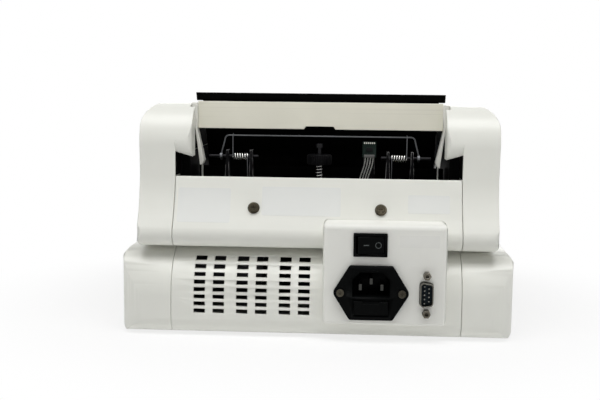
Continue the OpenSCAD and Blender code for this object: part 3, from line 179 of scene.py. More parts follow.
@cache
def grain_group() -> Tree:
    """Fine unevenness of a moulded, painted or rubber skin, with slow drift over the piece.

    Returns:
        The node group.
    """
    tree, w, given = new_group("skin_grain", {"Scale": 900.0, "Drift Scale": 25.0}, ("Height", "Drift"))
    place = w.node("ShaderNodeTexCoord").outputs["Object"]
    fine = w.node("ShaderNodeTexNoise", {"Vector": place, "Scale": given["Scale"], "Detail": 3.0})
    broad = w.node("ShaderNodeTexNoise", {"Vector": place, "Scale": given["Drift Scale"], "Detail": 4.0})
    drift = w.ramp(broad.outputs["Fac"], 0.3, 0.7)
    w.node("NodeGroupOutput", {"Height": fine.outputs["Fac"], "Drift": drift})
    return tree


@cache
def streak_group() -> Tree:
    """Fine lines along X, as drawing, turning or wiping leaves them.

    Returns:
        The node group.
    """
    tree, w, given = new_group("long_streaks", {"Along": 6.0, "Across": 900.0}, ("Lines", "Sparse"))
    place = w.node("ShaderNodeTexCoord").outputs["Object"]
    size = w.node("ShaderNodeCombineXYZ", {"X": given["Along"], "Y": given["Across"], "Z": given["Across"]})
    long = w.node("ShaderNodeVectorMath", {0: place, 1: size.outputs[0]}, operation="MULTIPLY").outputs[0]
    noise = w.node("ShaderNodeTexNoise", {"Vector": long, "Scale": 1.0, "Detail": 2.0}).outputs["Fac"]
    w.node("NodeGroupOutput", {"Lines": noise, "Sparse": w.ramp(noise, 0.62, 0.74)})
    return tree


@cache
def wear_and_sheen_group() -> Tree:
    """Scuffed edges, on the faces that a softened edge has, broken up by noise; on some dark finishes their pale
    colour is a painted highlight along the edges.

    Returns:
        The node group.
    """
    tree, w, given = new_group("rubbed_edges", {"Amount": 0.5, "Scale": 160.0}, ("Mask",))
    place = w.node("ShaderNodeTexCoord").outputs["Object"]
    edge = w.node("ShaderNodeAttribute", attribute_name="edge").outputs["Fac"]
    noise = w.node("ShaderNodeTexNoise", {"Vector": place, "Scale": given["Scale"], "Detail": 4.0}).outputs["Fac"]
    broken = w.ramp(noise, 0.4, 0.62)
    w.node("NodeGroupOutput", {"Mask": w.math("MULTIPLY", w.math("MULTIPLY", edge, broken), given["Amount"])})
    return tree


@cache
def dust_group() -> Tree:
    """Thin dust on what faces up.

    Returns:
        The node group.
    """
    tree, w, given = new_group("settled_dust", {"Amount": 0.2, "Scale": 70.0}, ("Mask",))
    place = w.node("ShaderNodeTexCoord")
    up = w.node("ShaderNodeSeparateXYZ", {0: place.outputs["Normal"]}).outputs["Z"]
    lying = w.ramp(up, 0.45, 1.0)
    noise = w.node(
        "ShaderNodeTexNoise", {"Vector": place.outputs["Object"], "Scale": given["Scale"], "Detail": 5.0}
    ).outputs["Fac"]
    patchy = w.ramp(noise, 0.35, 0.75, 0.3, 1.0)
    w.node("NodeGroupOutput", {"Mask": w.math("MULTIPLY", w.math("MULTIPLY", lying, patchy), given["Amount"])})
    return tree


def shade(colour: Point, by: float) -> tuple[float, float, float, float]:
    """Scales a colour and gives it full alpha."""
    return (colour[0] * by, colour[1] * by, colour[2] * by, 1.0)


@dataclass(frozen=True)
class Finish:
    """One finish: its colour and gloss, and how its skin is broken up.

    Attributes:
        name: The material's name.
        colour: Base colour, linear.
        roughness: Mean roughness.
        metallic: 0 for plastics, 1 for bare metal.
        surface: Kind of skin.
        coat: Weight of a clear top layer.
        specular: Strength of the plain reflection, 0.5 for common plastics.
        grain: Strength of the bump.
        scale: Fineness of the grain, per metre.
        drift: Share by which the colour drifts over the piece.
        streaks: Strength of sparse lines in the colour.
        wear_and_sheen: Amount of scuffed edge; on some dark finishes it is partly a painted highlight.
        wear_and_sheen_colour: Colour of a scuffed edge, which on those finishes is pale like a highlight.
        dust: Amount of dust on what faces up.
    """

    name: str
    colour: tuple[float, float, float]
    roughness: float
    metallic: float = 0.0
    surface: Surface = Surface.MOULDED
    coat: float = 0.0
    specular: float = 0.5
    grain: float = 0.08
    scale: float = 900.0
    drift: float = 0.04
    streaks: float = 0.0
    wear_and_sheen: float = 0.0
    wear_and_sheen_colour: tuple[float, float, float] = (0.7, 0.69, 0.66)
    dust: float = 0.0

    def material(self) -> bpy.types.Material:
        """Returns the material, made once."""
        return material_of(self)


DRAWN_LINES, TURNED_LINES = 6.0, 900.0  # Fineness of a metal's lines along X, per metre.
STREAK_SHADE = 0.55  # Brightness of a streak against what is round it.
ROUGH_DRIFT, LEAST_ROUGH = 0.015, 0.02  # How far the roughness drifts either way, and its least value.
DUST_COLOUR, DUST_ROUGH = (0.42, 0.40, 0.36, 1.0), 0.4  # Colour of dust, and how much rougher it is.
BUMP_HEIGHT = 0.0004  # Height of the grain at full strength, in metres.


@cache
def material_of(finish: Finish) -> bpy.types.Material:
    """Makes a finish's material.

    Args:
        finish: The finish.

    Returns:
        The material.
    """
    made = bpy.data.materials.new(finish.name)
    made.use_nodes = True
    made.node_tree.nodes.clear()
    w = Wiring(made.node_tree)
    levels = {"Metallic": finish.metallic, "Coat Weight": finish.coat, "Specular IOR Level": finish.specular}
    shader = w.node("ShaderNodeBsdfPrincipled", levels)
    w.node("ShaderNodeOutputMaterial", {"Surface": shader.outputs["BSDF"]})
    skin = w.node("ShaderNodeGroup", node_tree=grain_group())
    skin.inputs["Scale"].default_value = finish.scale
    drift, height = skin.outputs["Drift"], skin.outputs["Height"]
    colour = w.mix(drift, shade(finish.colour, 1 - finish.drift), shade(finish.colour, 1 + finish.drift))
    lined = finish.surface in (Surface.DRAWN, Surface.TURNED)
    if finish.streaks or lined:
        lines = w.node("ShaderNodeGroup", node_tree=streak_group())
        lines.inputs["Along"].default_value = TURNED_LINES if finish.surface is Surface.TURNED else DRAWN_LINES
        if lined:
            height = lines.outputs["Lines"]
        if finish.streaks:
            share = w.math("MULTIPLY", lines.outputs["Sparse"], finish.streaks)
            colour = w.mix(share, colour, shade(finish.colour, STREAK_SHADE))
    # Scuffed edges: real scuffing on most finishes, partly a painted highlight on some dark ones.
    if finish.wear_and_sheen:
        wear_and_sheen_mask = w.node("ShaderNodeGroup", node_tree=wear_and_sheen_group())
        wear_and_sheen_mask.inputs["Amount"].default_value = finish.wear_and_sheen
        colour = w.mix(wear_and_sheen_mask.outputs["Mask"], colour, shade(finish.wear_and_sheen_colour, 1.0))
    least = max(finish.roughness - ROUGH_DRIFT, LEAST_ROUGH)
    rough = w.ramp(drift, 0.0, 1.0, least, finish.roughness + ROUGH_DRIFT)
    if finish.dust:
        film = w.node("ShaderNodeGroup", node_tree=dust_group())
        film.inputs["Amount"].default_value = finish.dust
        colour = w.mix(film.outputs["Mask"], colour, DUST_COLOUR)
        rough = w.math("ADD", rough, w.math("MULTIPLY", film.outputs["Mask"], DUST_ROUGH), clamp=True)
    bump = w.node("ShaderNodeBump", {"Height": height, "Strength": finish.grain, "Distance": BUMP_HEIGHT})
    links = made.node_tree.links
    links.new(colour, shader.inputs["Base Color"])
    links.new(rough, shader.inputs["Roughness"])
    links.new(bump.outputs["Normal"], shader.inputs["Normal"])
    return made


CASING = Finish("casing_white", (0.80, 0.803, 0.745), 0.30, grain=0.04, drift=0.010, wear_and_sheen=0.10,
                wear_and_sheen_colour=(0.86, 0.86, 0.83), dust=0.03)
# Painted light: a lighter copy of the casing white for the connector box, so that its face reads as brightly lit as
# the panels round it.
LIT_BOX_WHITE = Finish("box_white", (0.84, 0.84, 0.79), 0.34, grain=0.06, drift=0.012, wear_and_sheen=0.10,
                  wear_and_sheen_colour=(0.86, 0.86, 0.83), dust=0.03)
CREAM = Finish("hopper_cream", (0.82, 0.80, 0.685), 0.45, grain=0.08, drift=0.03, streaks=0.14, wear_and_sheen=0.2,
               wear_and_sheen_colour=(0.84, 0.83, 0.74), dust=0.05)
CHEEK = Finish("cheek_white", (0.88, 0.875, 0.81), 0.42, grain=0.08, drift=0.03, wear_and_sheen=0.2, wear_and_sheen_colour=(0.88, 0.87, 0.82),
               dust=0.04)
# The lip's pale scuffed edges are partly scuffing and partly a painted highlight along its top edge.
LIP_BLACK = Finish("lip_black", (0.0018, 0.0019, 0.0018), 0.24, specular=0.02, grain=0.10, scale=350.0, drift=0.2,
                   wear_and_sheen=0.5, wear_and_sheen_colour=(0.22, 0.22, 0.21), dust=0.02)
CONNECTOR_BLACK = Finish("connector_black", (0.002, 0.0023, 0.0023), 0.40, specular=0.03, grain=0.10, drift=0.15,
                         wear_and_sheen=0.25, wear_and_sheen_colour=(0.02, 0.021, 0.021))
KNOB_BLACK = Finish("knob_black", (0.0035, 0.0035, 0.004), 0.5, specular=0.04, grain=0.2,
                    wear_and_sheen=0.3, wear_and_sheen_colour=(0.03, 0.03, 0.03))
# The bracket's pale scuffed edges are partly bare metal and partly painted highlights on its ears.
FRAME_BLACK = Finish("frame_black", (0.004, 0.004, 0.0045), 0.5, specular=0.04, grain=0.15, scale=1500.0,
                     wear_and_sheen=0.75, wear_and_sheen_colour=(0.42, 0.42, 0.42), dust=0.03)
FRAME_MATT = Finish("frame_matt", (0.003, 0.003, 0.0032), 0.6, specular=0.02, grain=0.15, scale=1500.0)
# Painted shade: a black matt sheet laid where the rear window shows only shade inside the head.
SHADE_FELT = Finish("black_felt", (0.0025, 0.0025, 0.0025), 0.9, specular=0.02, grain=0.4,
              scale=2200.0, drift=0.2)
STEEL = Finish("turned_steel", (0.14, 0.14, 0.14), 0.30, metallic=1.0, surface=Surface.TURNED, drift=0.08)
# Painted shade: a darkened copy of the turned steel for the pivot shafts and the adjusting screw, standing in for the
# dark surroundings that they reflect inside the window.
SHADED_STEEL = Finish("pivot_steel", (0.016, 0.016, 0.017), 0.30, metallic=1.0, surface=Surface.TURNED, drift=0.1)
# Painted light: the spring wire is made paler than steel, so that the coils and the adjusting spring under the knob
# read lit.
LIT_SPRING_WIRE = Finish("spring_wire", (0.80, 0.80, 0.77), 0.22, metallic=1.0, surface=Surface.DRAWN, drift=0.08)
# The bail's dark wire; the torsion springs' arms take it too, a painted-shade darkened copy of the pale coils' wire.
BAIL_AND_SHADED_WIRE = Finish("bail_wire", (0.11, 0.115, 0.12), 0.42, metallic=1.0, surface=Surface.DRAWN, drift=0.12)
ALUMINIUM = Finish("pulley_alu", (0.68, 0.68, 0.68), 0.35, metallic=1.0, surface=Surface.TURNED, drift=0.05)
BRONZE = Finish("dark_bronze", (0.034, 0.030, 0.021), 0.38, metallic=1.0, grain=0.12, drift=0.25, wear_and_sheen=0.5,
                wear_and_sheen_colour=(0.24, 0.20, 0.14))
# The jackscrews' pale scuffed edges are partly scuffing and partly painted highlights.
GILT = Finish("yellow_passivate", (0.11, 0.10, 0.08), 0.34, metallic=1.0, drift=0.2, wear_and_sheen=0.6,
              wear_and_sheen_colour=(0.50, 0.48, 0.42))
PIN_TIN = Finish("pin_tin", (0.24, 0.24, 0.22), 0.32, metallic=1.0, drift=0.1)
# The shell's pale scuffed edges are partly scuffing and partly painted highlights round its rim.
TIN = Finish("tin_plate", (0.13, 0.125, 0.105), 0.30, metallic=1.0, drift=0.12, wear_and_sheen=0.4, wear_and_sheen_colour=(0.45, 0.44, 0.40))
# Painted shade: the blades are darkened so that they read dim deep inside the inlet.
SHADED_BLADE = Finish("blade_brass", (0.045, 0.045, 0.042), 0.36, metallic=1.0, drift=0.12)
# The screw heads' pale scuffed ring is partly scuffing and partly a painted highlight.
SCREW_STEEL = Finish("screw_steel", (0.055, 0.050, 0.038), 0.36, metallic=1.0, drift=0.2, wear_and_sheen=0.7,
                     wear_and_sheen_colour=(0.34, 0.32, 0.26))
RUBBER = Finish("black_rubber", (0.008, 0.008, 0.008), 0.75, specular=0.1, grain=0.3,
                scale=1400.0, drift=0.15)
AMBER = Finish("amber_rubber", (0.42, 0.20, 0.055), 0.55, grain=0.25, drift=0.1, dust=0.1)
GREEN_PLASTIC = Finish("stacker_green", (0.045, 0.25, 0.14), 0.4, drift=0.06)
BOARD = Finish("board_green", (0.0024, 0.0090, 0.0062), 0.40, specular=0.12, grain=0.1, drift=0.15)
STRAND = Finish("cable_sheath", (0.42, 0.42, 0.39), 0.5, grain=0.1, drift=0.15)
MOTOR_PAINT = Finish("motor_paint", (0.07, 0.07, 0.075), 0.45, grain=0.15, drift=0.08)
SHEET_GREY = Finish("sheet_grey", (0.42, 0.42, 0.41), 0.5, grain=0.12, drift=0.06)
LENS = Finish("smoked_window", (0.006, 0.007, 0.009), 0.08, grain=0.0, drift=0.2, coat=0.5)
KEY_GREY = Finish("key_grey", (0.17, 0.20, 0.25), 0.5, grain=0.15, drift=0.05, wear_and_sheen=0.2,
                  wear_and_sheen_colour=(0.35, 0.38, 0.42))
TEAL = Finish("insulator_teal", (0.006, 0.016, 0.024), 0.45, specular=0.15, drift=0.1)
PALE_MARK = Finish("switch_mark", (0.045, 0.052, 0.050), 0.5, grain=0.02)
GLYPH = Finish("panel_print", (0.45, 0.47, 0.49), 0.5, grain=0.02)
LABEL = Finish("blank_label", (0.80, 0.81, 0.78), 0.22, grain=0.02, drift=0.01)
CLEAR_LABEL = Finish("clear_label", (0.84, 0.84, 0.795), 0.25, grain=0.02, drift=0.01)
PAD_TIN = Finish("solder_pads", (0.55, 0.55, 0.50), 0.4, metallic=0.6, drift=0.2)
CHIP = Finish("chip_black", (0.006, 0.006, 0.0065), 0.5, specular=0.1, grain=0.1)
HEADER = Finish("header_pale", (0.10, 0.10, 0.095), 0.5, grain=0.05)


def new_object(name: str, mesh: bpy.types.Mesh, finish: Finish | None = None) -> Thing:
    """Puts a mesh into the scene at the origin.

    Args:
        name: The object's name.
        mesh: Its mesh.
        finish: Its finish, if it has one already.

    Returns:
        The object.
    """
    made = bpy.data.objects.new(name, mesh)
    bpy.context.scene.collection.objects.link(made)
    if finish is not None:
        mesh.materials.clear()
        mesh.materials.append(finish.material())
    return made


def settle(thing: Thing) -> Thing:
    """Turns an object with modifiers into a plain mesh object of the same name.

    Args:
        thing: The object.

    Returns:
        The plain object that takes its place.
    """
    bpy.context.view_layer.update()
    graph = bpy.context.evaluated_depsgraph_get()
    mesh = bpy.data.meshes.new_from_object(thing.evaluated_get(graph), preserve_all_data_layers=True, depsgraph=graph)
    name, old = thing.name, thing.data
    bpy.data.objects.remove(thing)
    bpy.data.meshes.remove(old)
    mesh.name = name
    return new_object(name, mesh)


def smooth(mesh: bpy.types.Mesh) -> None:
    """Shades a mesh smoothly apart from its sharp edges."""
    mesh.shade_smooth()
    mesh.set_sharp_from_angle(angle=math.radians(SMOOTH_ANGLE))


def soften(bm: bmesh.types.BMesh, width: float, segments: int) -> None:
    """Rounds the sharp edges of a mesh and marks the new faces in the attribute named edge.

    Args:
        bm: The mesh, closed and merged.
        width: Width of the rounding, in metres.
        segments: Faces across it.
    """
    mark = bm.faces.layers.float.new("edge")
    mitre = bm.edges.layers.int.get("mitre")
    least = math.radians(SHARP_ANGLE)
    sharp = [e for e in bm.edges
             if e.is_manifold and e.calc_face_angle(0.0) > least and not (mitre and e[mitre])]
    made = bmesh.ops.bevel(
        bm, geom=sharp, offset=width, offset_type="OFFSET", segments=segments, profile=0.5,
        affect="EDGES", clamp_overlap=False, miter_outer="ARC", miter_inner="SHARP")
    for face in made["faces"]:
        face[mark] = 1.0


def mark_mitres(bm: bmesh.types.BMesh, beyond: Point = (105.0, -60.0, 25.0), least: float = 0.02) -> None:
    """Marks the creases where an upright rounding meets a level one at a rear corner, which are shaded as one.

    Args:
        bm: The mesh, closed and merged.
        beyond: Least X to either side, highest Y and lowest Z of a crease, in millimetres.
        least: How far the normals of a crease's faces lie apart at least, along X and along Z.
    """
    side, rear, low = (size * MM for size in beyond)
    mark = bm.edges.layers.int.new("mitre")
    for edge in bm.edges:
        if edge.is_manifold and edge.is_convex:
            apart = edge.link_faces[0].normal - edge.link_faces[1].normal
            there = all(abs(v.co.x) > side and v.co.y < rear and v.co.z > low for v in edge.verts)
            edge[mark] = int(there and min(abs(apart.x), abs(apart.z)) > least)


def softened(node: str, finish: Finish, width: float, segments: int = 2, margin: float = 0.0,
             mitred: bool = False) -> Thing:
    """Makes a copy of a CAD node with rounded edges.

    Args:
        node: The CAD node.
        finish: The copy's finish.
        width: Width of the rounding, in millimetres, or 0 for none.
        segments: Faces across it.
        margin: If given, how far from the ends along X a loop keeps the shading even, in millimetres.
        mitred: Whether the creases at the rear corners are shaded smooth.

    Returns:
        The piece.
    """
    bm = bmesh.new()
    bm.from_mesh(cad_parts[node].data)
    bmesh.ops.remove_doubles(bm, verts=bm.verts, dist=MERGE)
    if width:
        bmesh.ops.dissolve_limit(bm, angle_limit=math.radians(FLAT_ANGLE), verts=bm.verts, edges=bm.edges)
        if mitred:
            mark_mitres(bm)
        soften(bm, width * MM, segments)
    if margin:
        ends = [v.co.x for v in bm.verts]
        for x in (min(ends) + margin * MM, max(ends) - margin * MM):
            bmesh.ops.bisect_plane(bm, geom=[*bm.verts, *bm.edges, *bm.faces], plane_co=(x, 0, 0), plane_no=(1, 0, 0))
    mesh = bpy.data.meshes.new(f"{node}_skin")
    bm.to_mesh(mesh)
    bm.free()
    smooth(mesh)
    if mitred:
        for edge, crease in zip(mesh.edges, mesh.attributes["mitre"].data):
            edge.use_edge_sharp = edge.use_edge_sharp and not crease.value
    made = new_object(f"{node}_skin", mesh, finish)
    made.modifiers.new("even_normals", "WEIGHTED_NORMAL").keep_sharp = True
    return settle(made)


FLOAT, WHOLE, VECTOR = "NodeSocketFloat", "NodeSocketInt", "NodeSocketVector"
MATERIAL, OBJECT = "NodeSocketMaterial", "NodeSocketObject"


def new_tree(name: str, inputs: dict[str, str]) -> tuple[Tree, Wiring, dict[str, Socket]]:
    """Starts a Geometry Nodes tree.

    Args:
        name: The tree's name.
        inputs: Socket type of each named input beside the geometry.

    Returns:
        The tree, its wiring and the sockets of its inputs.
    """
    tree = bpy.data.node_groups.new(name, "GeometryNodeTree")
    for label, kind in {"Geometry": "NodeSocketGeometry", **inputs}.items():
        tree.interface.new_socket(label, in_out="INPUT", socket_type=kind)
    tree.interface.new_socket("Geometry", in_out="OUTPUT", socket_type="NodeSocketGeometry")
    wiring = Wiring(tree)
    entry = wiring.node("NodeGroupInput")
    return tree, wiring, {label: entry.outputs[label] for label in ("Geometry", *inputs)}


def close_tree(w: Wiring, shape: Socket, material: Socket) -> None:
    """Ends a tree with real geometry of one material.

    Args:
        w: The tree's wiring.
        shape: What the tree has made.
        material: The material's socket.
    """
    real = w.node("GeometryNodeRealizeInstances", {"Geometry": shape})
    done = w.node("GeometryNodeSetMaterial", {"Geometry": real.outputs[0], "Material": material})
    w.node("NodeGroupOutput", {"Geometry": done.outputs[0]})


@cache
def wire_tree() -> Tree:
    """Round wire along a path of joined points.

    Returns:
        The tree.
    """
    tree, w, given = new_tree("round_wire", {"Wire Radius": FLOAT, "Sides": WHOLE, "Material": MATERIAL})
    path = w.node("GeometryNodeMeshToCurve", {"Mesh": given["Geometry"]})
    ring = w.node(
        "GeometryNodeCurvePrimitiveCircle", {"Resolution": given["Sides"], "Radius": given["Wire Radius"]})
    tube = w.node(
        "GeometryNodeCurveToMesh",
        {"Curve": path.outputs[0], "Profile Curve": ring.outputs[0], "Fill Caps": True})
    soft = w.node("GeometryNodeSetShadeSmooth", {"Geometry": tube.outputs[0]})
    close_tree(w, soft.outputs[0], given["Material"])
    return tree


@cache
def ring_tree() -> Tree:
    """Copies of one shape, turned evenly about an upright axis.

    Returns:
        The tree.
    """
    tree, w, given = new_tree("ring_of_copies", {"Count": WHOLE, "Centre": VECTOR, "Material": MATERIAL})
    spots = w.node("GeometryNodePoints", {"Count": given["Count"], "Position": given["Centre"]})
    step = w.math("DIVIDE", 2 * math.pi, given["Count"])
    turn = w.math("MULTIPLY", w.node("GeometryNodeInputIndex").outputs[0], step)
    angle = w.node("ShaderNodeCombineXYZ", {"Z": turn})
    copies = w.node(
        "GeometryNodeInstanceOnPoints",
        {"Points": spots.outputs[0], "Instance": given["Geometry"], "Rotation": angle.outputs[0]})
    close_tree(w, copies.outputs[0], given["Material"])
    return tree


@cache
def copies_tree() -> Tree:
    """Copies of another object's shape on points, each turned by the points' attribute named turn.

    Returns:
        The tree.
    """
    tree, w, given = new_tree("copies_on_points", {"Shape": OBJECT, "Material": MATERIAL})
    shape = w.node("GeometryNodeObjectInfo", {"Object": given["Shape"]})
    turn = w.node("GeometryNodeInputNamedAttribute", {"Name": "turn"}, data_type="FLOAT_VECTOR")
    copies = w.node(
        "GeometryNodeInstanceOnPoints",
        {"Points": given["Geometry"], "Instance": shape.outputs["Geometry"], "Rotation": turn.outputs[0]})
    close_tree(w, copies.outputs[0], given["Material"])
    return tree


def grown(name: str, base: bpy.types.Mesh, tree: Tree, **values: Any) -> Thing:
    """Runs a tree over a mesh and keeps the result as a plain piece.

    Args:
        name: The piece's name.
        base: The tree's geometry.
        tree: The tree.
        values: Its inputs, by name with underscores for spaces.

    Returns:
        The piece.
    """
    made = new_object(name, base)
    step = made.modifiers.new("grow", "NODES")
    step.node_group = tree
    for item in tree.interface.items_tree:
        key = item.name.replace(" ", "_")
        if item.in_out == "INPUT" and key in values:
            step[item.identifier] = values[key]
    return settle(made)


def paths_mesh(name: str, paths: Iterable[Sequence[Point]]) -> bpy.types.Mesh:
    """Makes chains of joined points, given in millimetres.

    Args:
        name: The mesh's name.
        paths: The points of each chain.

    Returns:
        The mesh, which has edges only.
    """
    points: list[Vector] = []
    edges: list[tuple[int, int]] = []
    for path in paths:
        first = len(points)
        points += [Vector(p) * MM for p in path]
        edges += [(i, i + 1) for i in range(first, len(points) - 1)]
    mesh = bpy.data.meshes.new(name)
    mesh.from_pydata(points, edges, [])
    return mesh


def points_mesh(name: str, places: Sequence[Point], turns: Sequence[Point]) -> bpy.types.Mesh:
    """Makes loose points in millimetres, each with a turn in radians.

    Args:
        name: The mesh's name.
        places: The points.
        turns: Euler angles of each point.

    Returns:
        The mesh.
    """
    mesh = bpy.data.meshes.new(name)
    mesh.from_pydata([Vector(p) * MM for p in places], [], [])
    turn = mesh.attributes.new("turn", "FLOAT_VECTOR", "POINT")
    turn.data.foreach_set("vector", [x for angles in turns for x in angles])
    return mesh


def box_bm(bm: bmesh.types.BMesh, low: Point, high: Point) -> None:
    """Adds a box.

    Args:
        bm: What it is added to.
        low: Its lowest corner, in millimetres.
        high: Its highest corner, in millimetres.
    """
    middle = (Vector(low) + Vector(high)) / 2 * MM
    size = (Vector(high) - Vector(low)) * MM
    place = Matrix.Translation(middle) @ Matrix.Diagonal((*size, 1.0))
    bmesh.ops.create_cube(bm, size=1.0, matrix=place)


def shape_of(name: str, bm: bmesh.types.BMesh, finish: Finish, round_to: float = 0.0, segments: int = 2) -> Thing:
    """Turns a bmesh into a piece, with its sharp edges rounded if a width is given.

    Args:
        name: The piece's name.
        bm: The mesh, freed here.
        finish: Its finish.
        round_to: Width of the rounding, in millimetres.
        segments: Faces across the rounding.

    Returns:
        The piece.
    """
    if round_to:
        soften(bm, round_to * MM, segments)
    mesh = bpy.data.meshes.new(name)
    bm.to_mesh(mesh)
    bm.free()
    smooth(mesh)
    return new_object(name, mesh, finish)


def copies(name: str, shape: Thing, places: Sequence[Point], finish: Finish) -> Thing:
    """Puts copies of a shape on points, all turned alike.

    Args:
        name: The piece's name.
        shape: The shape, modelled at the origin, which is removed here.
        places: The points, in millimetres.
        finish: The copies' finish.

    Returns:
        The piece.
    """
    made = grown(name, points_mesh(name, places, [(0.0, 0.0, 0.0)] * len(places)), copies_tree(),
                 Shape=shape, Material=finish.material())
    bpy.data.objects.remove(shape)
    smooth(made.data)
    return made


def plate(name: str, node: str, rungs: Sequence[tuple[Point, Point]], finish: Finish, thick: float,
          closed: bool = False, from_front: bool = False) -> Thing:
    """Lays a thin plate on a CAD node, along rungs between its two edges.

    Args:
        name: The piece's name.
        node: The CAD node that it lies on.
        rungs: Pairs of X and Z, in millimetres.
        finish: Its finish.
        thick: How far it stands proud, in millimetres.
        closed: Whether the last rung joins the first, as in a ring.
        from_front: Whether it lies on the operator's side instead of the rear.

    Returns:
        The piece.
    """
    under = bmesh.new()
    under.from_mesh(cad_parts[node].data)
    target = BVHTree.FromBMesh(under)
    under.free()
    side = 1.0 if from_front else -1.0
    bm = bmesh.new()
    rows: list[list[bmesh.types.BMVert]] = []
    for rung in rungs:
        hits = [target.ray_cast(Vector((x * MM, side, z * MM)), Vector((0.0, -side, 0.0)))[:2] for x, z in rung]
        if any(spot is None for spot, _ in hits):
            raise ValueError(f"{name} reaches past {node}")
        (a, up_a), (b, up_b) = hits
        lift = thick * MM
        rows.append([bm.verts.new(p) for p in (a + up_a * lift, b + up_b * lift, b - up_b * lift, a - up_a * lift)])
    pairs = list(zip(rows, rows[1:] + rows[:1])) if closed else list(zip(rows, rows[1:]))
    for first, second in pairs:
        for i in range(4):
            j = (i + 1) % 4
            bm.faces.new((first[i], first[j], second[j], second[i]))
    if not closed:
        bm.faces.new(rows[0])
        bm.faces.new(rows[-1])
    bmesh.ops.recalc_face_normals(bm, faces=bm.faces)
    return shape_of(name, bm, finish)


def level_bar(x: float, z: float, half: float, thin: float) -> list[tuple[Point, Point]]:
    """Plots a level bar for a plate.

    Args:
        x: X of its middle.
        z: Z of its middle.
        half: Half its width.
        thin: Half its height.

    Returns:
        Its lower and its upper rung.
    """
    return [((x - half, z + up), (x + half, z + up)) for up in (-thin, thin)]


def keep(thing: Thing, body: str, slot: str, *nodes: str) -> None:
    """Makes a piece ride a body and hides the CAD nodes it stands for.

    Args:
        thing: The piece.
        body: The CAD body.
        slot: The record's material slot; not used.
        nodes: The CAD nodes.
    """
    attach(thing, body)
    if nodes:
        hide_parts(*nodes)
    LOG.info("%s: %d faces on %s", thing.name, len(thing.data.polygons), body)


def dress(finish: Finish, *nodes: str) -> None:
    """Gives CAD nodes a finish and leaves their shape as it is.

    Args:
        finish: The finish.
        nodes: The CAD nodes.
    """
    for node in nodes:
        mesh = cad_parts[node].data
        mesh.materials.clear()
        mesh.materials.append(finish.material())
        LOG.info("%s: dressed as %s", node, finish.name)


@dataclass(frozen=True)
class Fitting:
    """A piece that is a CAD node with rounded edges.

    Attributes:
        node: The CAD node.
        finish: Its finish.
        edge: Width of the rounding, in millimetres, or 0 for none.
        slot: The record's material slot.
        body: The CAD body that it rides.
    """

    node: str
    finish: Finish
    edge: float
    slot: str
    body: str = "chassis"

    def build(self) -> None:
        """Makes the piece."""
        keep(softened(self.node, self.finish, self.edge), self.body, self.slot, self.node)


class Assembly:
    """A group of pieces."""

    def build(self) -> None:
        """Makes the meshes of the pieces that have one of their own."""

    def dress(self) -> None:
        """Finishes the CAD nodes that keep their shape."""


@dataclass(frozen=True)
class BlankLabel:
    """A blank plate stuck on a casing face. Sizes are in millimetres.

    Attributes:
        name: The piece's name.
        node: The CAD node that it lies on.
        low: Lowest X and Z.
        high: Highest X and Z.
        thick: How far it stands proud.
        round_to: Radius of its corners.
        rows: Rows between the corners, so that it follows a curved face.
        finish: Its finish.
    """

    name: str
    node: str
    low: tuple[float, float]
    high: tuple[float, float]
    thick: float = 0.08
    round_to: float = 1.2
    rows: int = 10
    finish: Finish = LABEL

    def rungs(self) -> list[tuple[Point, Point]]:
        """Plots the plate's rows.

        Returns:
            The rows from bottom to top, each as its two ends in X and Z.
        """
        (x0, z0), (x1, z1), r = self.low, self.high, self.round_to
        corner = [(r * (1 - math.cos(a)), r * (1 - math.sin(a))) for a in (i * math.pi / 8 for i in range(5))]
        rows = [(z0 + up, pull) for up, pull in corner]
        rows += [(z0 + r + (z1 - z0 - 2 * r) * i / self.rows, 0.0) for i in range(1, self.rows)]
        rows += [(z1 - up, pull) for up, pull in reversed(corner)]
        return [((x0 + pull, z), (x1 - pull, z)) for z, pull in rows]

    def build(self) -> Thing:
        """Lays the plate on its node and returns it."""
        return plate(self.name, self.node, self.rungs(), self.finish, self.thick)


